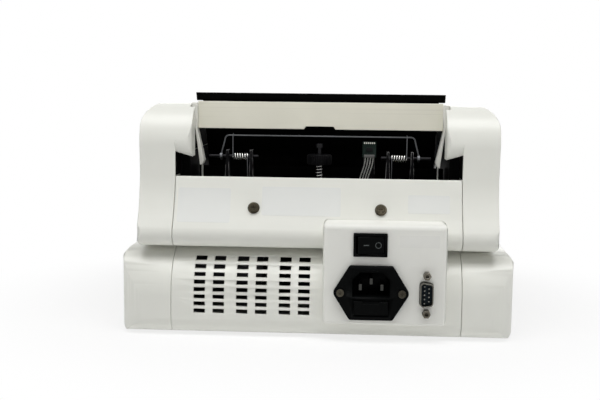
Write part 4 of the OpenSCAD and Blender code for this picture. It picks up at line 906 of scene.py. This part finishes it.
@dataclass
class Casing(Assembly):
    """The white shells of the base and the head. Sizes are in millimetres.

    Attributes:
        edge: Rounding of the shells' edges.
        margin: How far from their ends a loop keeps the shading even.
        labels: The blank plates on the rear.
        felt_low: Lowest Y and Z of the black felt inside the head's sides, a painted shade laid where the window
            shows only shade.
        shade_felt_high: Highest Y and Z of the felt.
        felt_x: Inner and outer X of the felt.
        shade_film_x: Inner and outer X of the black liner on the blocks' inner faces, painted shade like the felt.
        film: Front Y, lowest and highest Z of the liner's steps, which are painted shade; above its strip it stays
            behind the back rest.
        shade_film_rear: Rear Y of the liner.
    """

    edge: float = 0.6
    margin: float = 1.6
    labels: tuple[BlankLabel, ...] = (
        BlankLabel("label_left", "rear_cover", (-93.5, 75.5), (-58.0, 97.5)),
        BlankLabel("label_middle", "rear_cover", (-37.0, 80.5), (15.6, 99.0)),
        BlankLabel("label_right", "rear_cover", (60.2, 83.3), (87.8, 95.0)),
        BlankLabel("label_box", "connector_box", (54.4, 63.6), (80.0, 71.5), round_to=0.6, finish=CLEAR_LABEL),
    )
    felt_low: tuple[float, float] = (-86.0, 105.4)
    shade_felt_high: tuple[float, float] = (-70.4, 121.6)
    felt_x: tuple[float, float] = (95.86, 96.15)
    shade_film_x: tuple[float, float] = (88.42, 88.5)
    film: tuple[tuple[float, float, float], ...] = (
        (43.8, 121.1, 137.0), (-56.0, 137.0, 143.0), (-60.0, 143.0, 150.0),
    )
    shade_film_rear: float = -70.2

    def build(self) -> None:
        """Makes the shells, the plates, and the black felt and liner, which are painted shade inside the head's
        sides.
        """
        for node in ("base_cap_left", "base_cap_right", "head_cap_left", "head_cap_right", "rear_cover",
                     "front_fascia", "control_panel", "top_deck"):
            skin = softened(node, CASING, self.edge, 3, self.margin, mitred=node.startswith("base_cap"))
            keep(skin, "chassis", "casing_white", node)
        Fitting("base_rear_panel", CASING, 0.0, "casing_white").build()
        for label in self.labels:
            keep(label.build(), "chassis", "casing_white")
        # Painted shade: black felt and liner on the inner walls, where the window shows only shade.
        bm = bmesh.new()
        for side in Side:
            ends = sorted(side.value * x for x in self.felt_x)
            box_bm(bm, (ends[0], *self.felt_low), (ends[1], *self.shade_felt_high))
            ends = sorted(side.value * x for x in self.shade_film_x)
            for front, low, high in self.film:
                box_bm(bm, (ends[0], self.shade_film_rear, low), (ends[1], front, high))
        keep(shape_of("head_felt", bm, SHADE_FELT), "chassis", "black_matte")

    def dress(self) -> None:
        """Finishes the floor plate and the feet."""
        dress(SHEET_GREY, "base_tray")
        dress(RUBBER, "rubber_feet")


@dataclass
class Hopper(Assembly):
    """The leaning rest with its lip, the cream cover and the side plates.

    Attributes:
        fittings: The pieces that show from the rear.
    """

    fittings: tuple[Fitting, ...] = (
        Fitting("hopper_rest", LIP_BLACK, 0.35, "black_gloss"),
        Fitting("hopper_cover", CREAM, 0.35, "hopper_cream"),
        Fitting("hopper_cheeks", CHEEK, 0.35, "hopper_cream"),
    )

    def build(self) -> None:
        """Makes the pieces that show from the rear."""
        for fitting in self.fittings:
            fitting.build()

    def dress(self) -> None:
        """Finishes the front plate."""
        dress(KNOB_BLACK, "feed_tray")


@dataclass
class PressureGear(Assembly):
    """The bracket, wire bail, springs and thickness adjuster in the rear window. Sizes are in millimetres.

    Attributes:
        pivot: Y and Z of the bail's shafts.
        web_z: Top of the bracket's web.
        coil: Inner end, outer end and radius of a torsion spring.
        coil_turns: Its turns.
        wire: Diameter of the spring wire.
        leg: Height of a spring's lower end above the web, and heights below the pivot that its lower arm passes.
        arm_rise: Height above the pivot that a spring's upper arm passes.
        hook: Points of the upper arm's hook, as Y from the arm and Z from the hook's top.
        hook_gap: Gap between the hook and the bail's bar.
        hook_end: How far in front of the pivot the hook ends.
        bar_z: Height of the bail's bar.
        bail_wire: Radius of the bail's wire.
        bail_sides: Sides of the bail's wire.
        bail_half: Half the width of the bail at its bar.
        bail_bend: Radius of its corners.
        bail_foot: X of its feet.
        eye: Outer radius of the bail's eyes.
        eye_room: How far above the eyes the CAD node's wire is cut off.
        shaft_r: Radius of the shafts.
        knob: Radius, lowest Z and height of the knob.
        knob_core: How far the knob's core lies inside its ribs.
        knob_edge: Rounding of the core's edges.
        knob_ribs: Ribs round the knob.
        rib: Depth of a rib, half its width, and its distance from the knob's ends.
        rib_edge: Rounding of a rib's edges.
        adjust_r: Radius of the adjusting spring.
        adjust_turns: Its turns.
        steps: Points in one curl of wire.
        sides: Sides of the wire.
        board: X of the sensor board's middle, its rear face's Y, its lowest and its highest Z.
        header: Half the width, depth, lowest and highest Z of the header, above the board's foot.
        chip: The same of the chip.
        sunk: How far both reach into the board.
        pads: How many pads the board has along its top.
        pad: Half the width, height, depth in the board and half the length of a pad.
        pad_edge: Rounding of a pad's edges.
        pad_pitch: Distance between the pads.
        pad_drop: Distance of the pads' middle from the board's top.
        ribbon: Width, sideways shift and Y of the ribbon cable.
        ribbon_ends: Height of its ends above the board's foot and above the web.
        strands: Pairs of twisted wires in the ribbon.
        strand_wire: Radius of one wire.
        strand_turns: Turns of a twisted pair.
        strand_steps: Points in one turn.
        strand_sides: Sides of one wire.
        fittings: The pieces that only have their edges rounded.
    """

    pivot: tuple[float, float] = (-60.0, 117.0)
    web_z: float = 96.0
    coil: tuple[float, float, float] = (50.0, 60.2, 2.3)
    coil_turns: int = 6
    wire: float = 0.7
    leg: tuple[float, ...] = (1.0, 8.0, 2.0, 0.0)
    arm_rise: float = 2.0
    hook: tuple[tuple[float, float], ...] = ((0.0, -4.0), (0.0, -1.2), (0.5, -0.3), (1.3, 0.0))
    hook_gap: float = 0.2
    hook_end: float = 0.9
    bar_z: float = 131.5
    bail_wire: float = 0.6
    bail_sides: int = 14
    bail_half: float = 66.0
    bail_bend: float = 3.0
    bail_foot: float = 68.5
    eye: float = 2.6
    eye_room: float = 0.01
    shaft_r: float = 1.2
    knob: tuple[float, float, float] = (8.7, 112.0, 7.0)
    knob_core: float = 0.6
    knob_edge: float = 0.5
    knob_ribs: int = 36
    rib: tuple[float, float, float] = (1.2, 0.38, 0.5)
    rib_edge: float = 0.22
    adjust_r: float = 2.5
    adjust_turns: int = 7
    steps: int = 28
    sides: int = 10
    board: tuple[float, float, float, float] = (34.5, -58.6, 117.0, 128.2)
    header: tuple[float, float, float, float] = (3.7, 2.06, 0.15, 2.25)
    chip: tuple[float, float, float, float] = (2.05, 1.06, 4.45, 7.05)
    sunk: float = 0.3
    pads: int = 6
    pad: tuple[float, float, float, float] = (0.42, 0.09, 0.05, 0.55)
    pad_edge: float = 0.05
    pad_pitch: float = 1.35
    pad_drop: float = 1.0
    ribbon: tuple[float, float, float] = (6.3, 4.4, -60.0)
    ribbon_ends: tuple[float, float] = (0.3, 0.35)
    strands: int = 4
    strand_wire: float = 0.23
    strand_turns: int = 8
    strand_steps: int = 14
    strand_sides: int = 6
    fittings: tuple[Fitting, ...] = (
        Fitting("clevis_bracket", FRAME_BLACK, 0.22, "black_steel"),
        Fitting("pivot_shafts", SHADED_STEEL, 0.3, "steel"),
        Fitting("separator", RUBBER, 0.4, "rubber_black", "separator_block"),
    )

    def coil_path(self, side: Side) -> list[Point]:
        """Plots one torsion spring's coil.

        Args:
            side: The spring's side.

        Returns:
            The path from the inner end to the outer one.
        """
        y, z = self.pivot
        inner, outer, radius = self.coil
        path: list[Point] = []
        rings = self.coil_turns * self.steps
        for i in range(rings + 1):
            turn = math.pi - 2 * math.pi * i / self.steps
            path.append((inner + (outer - inner) * i / rings,
                         y + radius * math.cos(turn), z + radius * math.sin(turn)))
        return [(side.value * p[0], p[1], p[2]) for p in path]

    def arm_path(self, side: Side) -> list[Point]:
        """Plots one torsion spring's upper arm and hook.

        Args:
            side: The spring's side.

        Returns:
            The path from the coil's outer end.
        """
        y, z = self.pivot
        x, rear = side.value * self.coil[1], y - self.coil[2]
        top = self.bar_z + self.bail_wire + self.wire / 2 + self.hook_gap
        hook = [(x, rear + ahead, top + up) for ahead, up in self.hook]
        return [(x, rear, z), (x, rear, z + self.arm_rise), *hook, (x, y + self.hook_end, top)]

    def leg_path(self, side: Side) -> list[Point]:
        """Plots one torsion spring's lower arm.

        Args:
            side: The spring's side.

        Returns:
            The path up to the coil's inner end.
        """
        y, z = self.pivot
        foot, *drops = self.leg
        heights = [self.web_z + foot, *(z - drop for drop in drops)]
        return [(side.value * self.coil[0], y - self.coil[2], up) for up in heights]

    def adjust_path(self) -> list[Point]:
        """Plots the adjusting spring, on the web round the screw.

        Returns:
            The path from the bottom up.
        """
        low, high = self.web_z + self.wire, self.knob[1] - self.wire
        rings = self.adjust_turns * self.steps
        return [(self.adjust_r * math.cos(2 * math.pi * i / self.steps),
                 self.pivot[0] + self.adjust_r * math.sin(2 * math.pi * i / self.steps),
                 low + (high - low) * i / rings) for i in range(rings + 1)]

    def bail_path(self) -> list[Point]:
        """Plots the bail's wire.

        Returns:
            The path from one eye to the other.
        """
        y, z = self.pivot
        foot = (self.bail_foot, y, z + (self.eye + self.shaft_r) / 2)
        bend = [(self.bail_half - self.bail_bend * (1 - math.cos(math.radians(a))), y,
                 self.bar_z - self.bail_bend * (1 - math.sin(math.radians(a)))) for a in range(0, 91, 10)]
        half: list[Point] = [foot, *bend]
        return half + [(-p[0], p[1], p[2]) for p in reversed(half)]

    def springs(self) -> None:
        """Winds the springs out of round wire."""
        values = {"Wire_Radius": self.wire / 2 * MM, "Sides": self.sides}
        # The coils take the paler, painted-light wire and their own arms the darker, painted-shade one.
        for name, paths, finish in (("torsion_coils", (self.coil_path,), LIT_SPRING_WIRE),
                                    ("torsion_arms", (self.leg_path, self.arm_path), BAIL_AND_SHADED_WIRE)):
            bent = paths_mesh(name, [path(side) for path in paths for side in Side])
            keep(grown(name, bent, wire_tree(), Material=finish.material(), **values), "bail", "spring_wire",
                 "torsion_springs")
        bent = paths_mesh("adjust_path", [self.adjust_path()])
        keep(grown("adjust_spring_wound", bent, wire_tree(), Material=LIT_SPRING_WIRE.material(), **values), "chassis",
             "spring_wire", "adjust_spring")

    def bail(self) -> None:
        """Bends the bail and adds its eyes."""
        wire = grown("bail_bent", paths_mesh("bail_path", [self.bail_path()]), wire_tree(),
                     Wire_Radius=self.bail_wire * MM, Sides=self.bail_sides, Material=BAIL_AND_SHADED_WIRE.material())
        keep(wire, "bail", "spring_wire")
        bm = bmesh.new()
        bm.from_mesh(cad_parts["spring_bail"].data)
        cut = (self.pivot[1] + self.eye + self.eye_room) * MM
        bmesh.ops.bisect_plane(bm, geom=[*bm.verts, *bm.edges, *bm.faces], plane_co=(0, 0, cut),
                               plane_no=(0, 0, 1), clear_outer=True)
        keep(shape_of("bail_eyes", bm, BAIL_AND_SHADED_WIRE), "bail", "spring_wire", "spring_bail")

    def adjuster(self) -> None:
        """Makes the ribbed knob and the screw."""
        radius, low, height = self.knob
        bm = bmesh.new()
        place = Matrix.Translation(Vector((0.0, self.pivot[0], low + height / 2)) * MM)
        core = (radius - self.knob_core) * MM
        bmesh.ops.create_cone(bm, cap_ends=True, segments=96, radius1=core, radius2=core, depth=height * MM,
                              matrix=place)
        keep(shape_of("knob_core", bm, KNOB_BLACK, self.knob_edge, 3), "adjuster", "black_matte", "adjust_knob")
        bm = bmesh.new()
        deep, half, inset = self.rib
        box_bm(bm, (radius - deep, -half, low + inset), (radius, half, low + height - inset))
        soften(bm, self.rib_edge * MM, 2)
        rib = bpy.data.meshes.new("knob_rib")
        bm.to_mesh(rib)
        bm.free()
        ribs = grown("knob_ribs", rib, ring_tree(), Count=self.knob_ribs,
                     Centre=Vector((0.0, self.pivot[0], 0.0)) * MM, Material=KNOB_BLACK.material())
        smooth(ribs.data)
        keep(ribs, "adjuster", "black_matte")
        Fitting("adjust_screw", SHADED_STEEL, 0.25, "steel", "adjuster").build()

    def circuit(self) -> None:
        """Makes the small circuit board with its header, chip and pads."""
        x, y, low, high = self.board
        Fitting("sensor_board", BOARD, 0.0, "board_green").build()
        for name, size, finish, edge in (("board_header", self.header, HEADER, 0.25),
                                         ("board_chip", self.chip, CHIP, 0.2)):
            half, deep, foot, top = size
            bm = bmesh.new()
            box_bm(bm, (x - half, y - deep, low + foot), (x + half, y + self.sunk, low + top))
            keep(shape_of(name, bm, finish, edge), "chassis", "black_matte")
        half, tall, deep, long = self.pad
        bm = bmesh.new()
        box_bm(bm, (-half, -tall, -long), (half, deep, long))
        pad = shape_of("pad_shape", bm, PAD_TIN, self.pad_edge)
        first = x - (self.pads - 1) / 2 * self.pad_pitch
        places = [(first + i * self.pad_pitch, y, high - self.pad_drop) for i in range(self.pads)]
        keep(copies("board_pads", pad, places, PAD_TIN), "chassis", "plated")

    def cable(self) -> None:
        """Twists the ribbon's wires in pairs, from the header down to the bracket's web."""
        wide, shift, y = self.ribbon
        top, low = self.board[2] + self.ribbon_ends[0], self.web_z + self.ribbon_ends[1]
        pitch = (wide - 4 * self.strand_wire) / (self.strands - 1)
        count = self.strand_turns * self.strand_steps
        paths: list[list[Point]] = []
        for strand in range(self.strands):
            for phase in (0.0, math.pi):
                path: list[Point] = []
                for i in range(count + 1):
                    t = i / count
                    turn = 2 * math.pi * self.strand_turns * t + phase + strand
                    middle = self.board[0] - shift * (1 - math.cos(math.pi * t)) / 2
                    x = middle + (strand - (self.strands - 1) / 2) * pitch + self.strand_wire * math.cos(turn)
                    path.append((x, y + self.strand_wire * math.sin(turn), top + (low - top) * t))
                paths.append(path)
        made = grown("ribbon_strands", paths_mesh("ribbon_paths", paths), wire_tree(),
                     Wire_Radius=self.strand_wire * MM, Sides=self.strand_sides, Material=STRAND.material())
        keep(made, "chassis", "ribbon_grey", "ribbon_cable")

    def build(self) -> None:
        """Makes the pieces that show in the window."""
        self.springs()
        self.bail()
        self.adjuster()
        self.circuit()
        self.cable()
        for fitting in self.fittings:
            fitting.build()


@dataclass
class Drive(Assembly):
    """The motor, shafts, rollers and belts inside, which show only through gaps.

    Attributes:
        finishes: Finish of each CAD node.
    """

    finishes: dict[str, Finish] = field(default_factory=lambda: {
        "side_frames": FRAME_MATT, "frame_rods": STEEL, "bushes": BRONZE,
        "feed_shaft": STEEL, "kicker_shaft": STEEL, "stacker_shaft": STEEL,
        "feed_rollers": AMBER, "kicker_rollers": AMBER, "stacker_wheels": GREEN_PLASTIC,
        "feed_pulleys": ALUMINIUM, "kicker_pulley": ALUMINIUM, "stacker_pulley": ALUMINIUM,
        "motor_pulley": ALUMINIUM, "drive_motor": MOTOR_PAINT, "drive_belt": RUBBER,
        "timing_belt": RUBBER, "main_board": BOARD,
    })

    def dress(self) -> None:
        """Finishes the CAD nodes."""
        for node, finish in self.finishes.items():
            dress(finish, node)


@dataclass
class FrontPanel(Assembly):
    """The operator's keys and display.

    Attributes:
        keys: How many keys there are.
        edge: Rounding of a key's edges, in millimetres.
        bar: Half the width and half the height of the bar on each key, in millimetres.
        bar_thick: How far the bar stands proud, in millimetres.
        window: The display's window.
    """

    keys: int = 4
    edge: float = 0.8
    bar: tuple[float, float] = (3.2, 0.35)
    bar_thick: float = 0.05
    window: Fitting = Fitting("display_lens", LENS, 0.2, "lens_dark")

    def build(self) -> None:
        """Makes the keys with a plain bar on each, and the window."""
        for number in range(1, self.keys + 1):
            node = f"key_{number}"
            keep(softened(node, KEY_GREY, self.edge, 3), f"key_cap_{number}", "key_grey", node)
            low, high = (Vector(corner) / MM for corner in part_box(node))
            x, z = (low.x + high.x) / 2, (low.z + high.z) / 2
            bar = plate(f"key_bar_{number}", node, level_bar(x, z, *self.bar), GLYPH, self.bar_thick, from_front=True)
            keep(bar, f"key_cap_{number}", "key_grey")
        self.window.build()

    def dress(self) -> None:
        """Finishes the board behind the panel."""
        dress(BOARD, "key_board")


@dataclass
class ConnectorBox(Assembly):
    """The box on the rear with the switch, the mains inlet and the serial port. Sizes are in millimetres.

    Attributes:
        switch: X and Z of the switch.
        mark_x: X of the on mark and of the off mark from the switch's middle.
        dash: Half the width and half the height of the on mark.
        ring: Inner and outer radius of the off mark.
        ring_steps: Corners round the off mark.
        mark_thick: How far the marks stand proud.
        port: X and Z of the serial port.
        pin_count: Pins in the longer row of the port, one more than in the other.
        pin_rows: Distance between the rows.
        pin_pitch: Distance between the pins of a row.
        pin_tip: Rounding of a pin's tip, as a share of its radius.
        box_edge: Rounding of the box's edges.
        joint: How far the box is drawn out into the joint round it.
        near: How close to the box's ends a corner is drawn out.
        fittings: The pieces that only have their edges rounded.
    """

    switch: tuple[float, float] = (35.5, 65.0)
    mark_x: tuple[float, float] = (-2.7, 5.1)
    dash: tuple[float, float] = (1.7, 0.35)
    ring: tuple[float, float] = (1.6, 2.05)
    ring_steps: int = 32
    mark_thick: float = 0.04
    port: tuple[float, float] = (72.2, 33.4)
    pin_count: int = 5
    pin_rows: float = 2.84
    pin_pitch: float = 2.77
    pin_tip: float = 0.6
    box_edge: float = 0.4
    joint: float = 0.18
    near: float = 0.02
    fittings: tuple[Fitting, ...] = (
        Fitting("switch_body", CONNECTOR_BLACK, 0.4, "black_gloss"),
        Fitting("switch_rocker", CONNECTOR_BLACK, 0.35, "black_gloss", "rocker"),
        Fitting("inlet_body", CONNECTOR_BLACK, 0.0, "black_gloss"),
        Fitting("fuse_drawer", CONNECTOR_BLACK, 0.3, "black_gloss", "fuse_holder"),
        Fitting("inlet_pins", SHADED_BLADE, 0.25, "plated"),
        Fitting("inlet_screws", SCREW_STEEL, 0.2, "plated"),
        Fitting("serial_shell", TIN, 0.12, "plated"),
        Fitting("serial_jackscrews", GILT, 0.2, "gold"),
        Fitting("cover_screws", BRONZE, 0.25, "bronze"),
    )

    def marks(self) -> None:
        """Prints the dash and the ring on the rocker."""
        x, z = self.switch
        left, right = (x + off for off in self.mark_x)
        turns = [2 * math.pi * i / self.ring_steps for i in range(self.ring_steps)]
        ring = [tuple((right + r * math.cos(a), z + r * math.sin(a)) for r in self.ring) for a in turns]
        for name, rungs, closed in (("mark_on", level_bar(left, z, *self.dash), False), ("mark_off", ring, True)):
            mark = plate(name, "switch_rocker", rungs, PALE_MARK, self.mark_thick, closed)
            keep(mark, "rocker", "black_gloss")

    def pins(self) -> None:
        """Makes the port's pins with rounded tips."""
        low, high = (Vector(corner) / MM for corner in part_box("serial_pins"))
        radius = (high.x - low.x - self.pin_rows) / 2
        bm = bmesh.new()
        turn = Matrix.Rotation(math.radians(90), 4, "X")
        bmesh.ops.create_cone(bm, cap_ends=True, segments=16, radius1=radius * MM, radius2=radius * MM,
                              depth=(high.y - low.y) * MM, matrix=turn)
        pin = shape_of("pin_shape", bm, PIN_TIN, radius * self.pin_tip, 3)
        (x, z), y, middle = self.port, (low.y + high.y) / 2, (self.pin_count - 1) / 2
        places = [(x + (row - 0.5) * self.pin_rows, y, z + (i - middle + row / 2) * self.pin_pitch)
                  for row in (0, 1) for i in range(self.pin_count - row)]
        keep(copies("port_pins", pin, places, PIN_TIN), "chassis", "gold", "serial_pins")

    def seal(self, box: Thing) -> None:
        """Draws the box's sides and top out to the panels round it, so that no dark joint shows.

        Args:
            box: The box's piece.
        """
        low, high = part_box("connector_box")
        near, joint = self.near * MM, self.joint * MM
        for vertex in box.data.vertices:
            if vertex.co.x - low[0] < near:
                vertex.co.x -= joint
            if high[0] - vertex.co.x < near:
                vertex.co.x += joint
            if high[2] - vertex.co.z < near:
                vertex.co.z += joint

    def build(self) -> None:
        """Makes the box and its connectors."""
        # The box takes the lighter, painted-light copy of the casing white.
        box = softened("connector_box", LIT_BOX_WHITE, self.box_edge)
        self.seal(box)
        keep(box, "chassis", "casing_white", "connector_box")
        for fitting in self.fittings:
            fitting.build()
        self.marks()
        self.pins()

    def dress(self) -> None:
        """Finishes the port's inside."""
        dress(TEAL, "serial_insulator")


@dataclass(frozen=True)
class Lamp:
    """A soft light. Places and sizes are in metres.

    Attributes:
        name: The light's name.
        place: Where it stands.
        size: Its width and height.
        power: Its power in watts.
        target: What it points at.
    """

    name: str
    place: tuple[float, float, float]
    size: tuple[float, float]
    power: float
    target: tuple[float, float, float] = (0.0, -0.05, 0.08)

    def build(self) -> None:
        """Adds the light."""
        data = bpy.data.lights.new(self.name, "AREA")
        data.shape = "RECTANGLE"
        data.size, data.size_y = self.size
        data.energy = self.power
        light = bpy.data.objects.new(self.name, data)
        bpy.context.scene.collection.objects.link(light)
        light.location = self.place
        light.rotation_euler = (Vector(self.target) - Vector(self.place)).to_track_quat("-Z", "Y").to_euler()


@dataclass
class Studio:
    """Camera, light, floor and backdrop. Places are in metres.

    Attributes:
        eye: Where the camera stands.
        yaw: Turn of the view to the left, in degrees.
        dip: How far the view looks down, in degrees.
        roll: Roll of the picture, in degrees.
        lens: Focal length for a 36 mm frame.
        fill: Strength of the surrounding light.
        glow: How much light the floor adds of its own.
        reach: Half the floor's width.
        oval: How much narrower than wide the floor's clear patch round the object is.
        fade: From where to where the floor fades to white.
        haze: Share of white in the clear patch.
        lamps: The lights.
    """

    eye: tuple[float, float, float] = (0.02284, -0.72630, 0.16991)
    yaw: float = 3.1
    dip: float = 7.1
    roll: float = 0.62
    lens: float = 57.66
    fill: float = 0.03
    glow: float = 0.22
    reach: float = 6.0
    oval: float = 1.15
    fade: tuple[float, float] = (0.12, 0.30)
    haze: float = 0.72
    lamps: tuple[Lamp, ...] = (
        Lamp("overhead", (0.0, -0.36, 0.98), (1.2, 0.5), 8.7),
        Lamp("rear_key", (0.0, -0.86, 0.74), (1.2, 0.6), 0.9),
        Lamp("front_fill", (0.0, 1.0, 0.32), (1.0, 0.5), 2.4, (0.0, 0.05, 0.08)),
        *(Lamp(f"side_{side.name.lower()}", (side.value * 0.95, -0.3, 0.4), (0.8, 0.6), 1.0) for side in Side),
    )

    def camera(self) -> None:
        """Places the camera at the photograph's angle."""
        yaw, dip, roll = (math.radians(a) for a in (self.yaw, self.dip, self.roll))
        ahead = Vector((-math.sin(yaw) * math.cos(dip), math.cos(yaw) * math.cos(dip), -math.sin(dip)))
        right = Vector((math.cos(yaw), math.sin(yaw), 0.0))
        up = right.cross(ahead)
        right, up = (math.cos(roll) * right + math.sin(roll) * up, math.cos(roll) * up - math.sin(roll) * right)
        data = bpy.data.cameras.new("photo_camera")
        data.sensor_width = 36.0
        data.lens = self.lens
        data.clip_start = 0.01
        camera = bpy.data.objects.new("photo_camera", data)
        bpy.context.scene.collection.objects.link(camera)
        turn = Matrix((right, up, -ahead)).transposed()
        camera.matrix_world = Matrix.Translation(self.eye) @ turn.to_4x4()
        bpy.context.scene.camera = camera

    def seen(self, w: Wiring) -> Socket:
        """Returns 1 where a ray shows a surface, directly, in a reflection or through glass, and 0 where it lights.

        Args:
            w: The node tree's wiring.

        Returns:
            The mask's socket.
        """
        path = w.node("ShaderNodeLightPath").outputs
        direct = w.math("MAXIMUM", path["Is Camera Ray"], path["Is Transmission Ray"])
        return w.math("MAXIMUM", direct, path["Is Glossy Ray"])

    def surroundings(self) -> None:
        """Makes the world: white where it is seen, dimmer where it lights."""
        world = bpy.data.worlds.new("studio_world")
        world.use_nodes = True
        world.node_tree.nodes.clear()
        w = Wiring(world.node_tree)
        dim = (self.fill, self.fill, self.fill * 0.99, 1.0)
        colour = w.mix(self.seen(w), dim, (1.0, 1.0, 1.0, 1.0))
        light = w.node("ShaderNodeBackground", {"Color": colour, "Strength": 1.0})
        w.node("ShaderNodeOutputWorld", {"Surface": light.outputs[0]})
        bpy.context.scene.world = world

    def floor(self) -> None:
        """Makes the pale floor, which fades to the backdrop away from the object."""
        bm = bmesh.new()
        bmesh.ops.create_grid(bm, x_segments=1, y_segments=1, size=self.reach)
        mesh = bpy.data.meshes.new("floor")
        bm.to_mesh(mesh)
        bm.free()
        material = bpy.data.materials.new("floor_white")
        material.use_nodes = True
        material.node_tree.nodes.clear()
        w = Wiring(material.node_tree)
        place = w.node("ShaderNodeTexCoord").outputs["Object"]
        flat = w.node("ShaderNodeVectorMath", {0: place, 1: (1.0, self.oval, 0.0)}, operation="MULTIPLY").outputs[0]
        far = w.node("ShaderNodeVectorMath", {0: flat}, operation="LENGTH").outputs["Value"]
        share = w.math("MULTIPLY", w.ramp(far, *self.fade, self.haze, 1.0), self.seen(w))
        share = w.math("MAXIMUM", share, self.glow)
        matt = w.node("ShaderNodeBsdfDiffuse", {"Color": (0.93, 0.93, 0.93, 1.0)})
        white = w.node("ShaderNodeEmission", {"Color": (1.0, 1.0, 1.0, 1.0), "Strength": 1.0})
        blend = w.node("ShaderNodeMixShader", {0: share, 1: matt.outputs[0], 2: white.outputs[0]})
        w.node("ShaderNodeOutputMaterial", {"Surface": blend.outputs[0]})
        mesh.materials.append(material)
        floor = new_object("floor", mesh)

    def build(self) -> None:
        """Sets up the whole studio."""
        self.camera()
        self.surroundings()
        self.floor()
        for lamp in self.lamps:
            lamp.build()
        bpy.context.scene.view_settings.view_transform = "Standard"


def main() -> None:
    """Builds the object and the studio."""
    logging.basicConfig(level=logging.INFO, format="%(name)s %(message)s")
    for part in (Casing(), Hopper(), PressureGear(), Drive(), FrontPanel(), ConnectorBox()):
        LOG.info("making %s", type(part).__name__)
        part.build()
        part.dress()
    Studio().build()


if __name__ == "__main__":
    main()
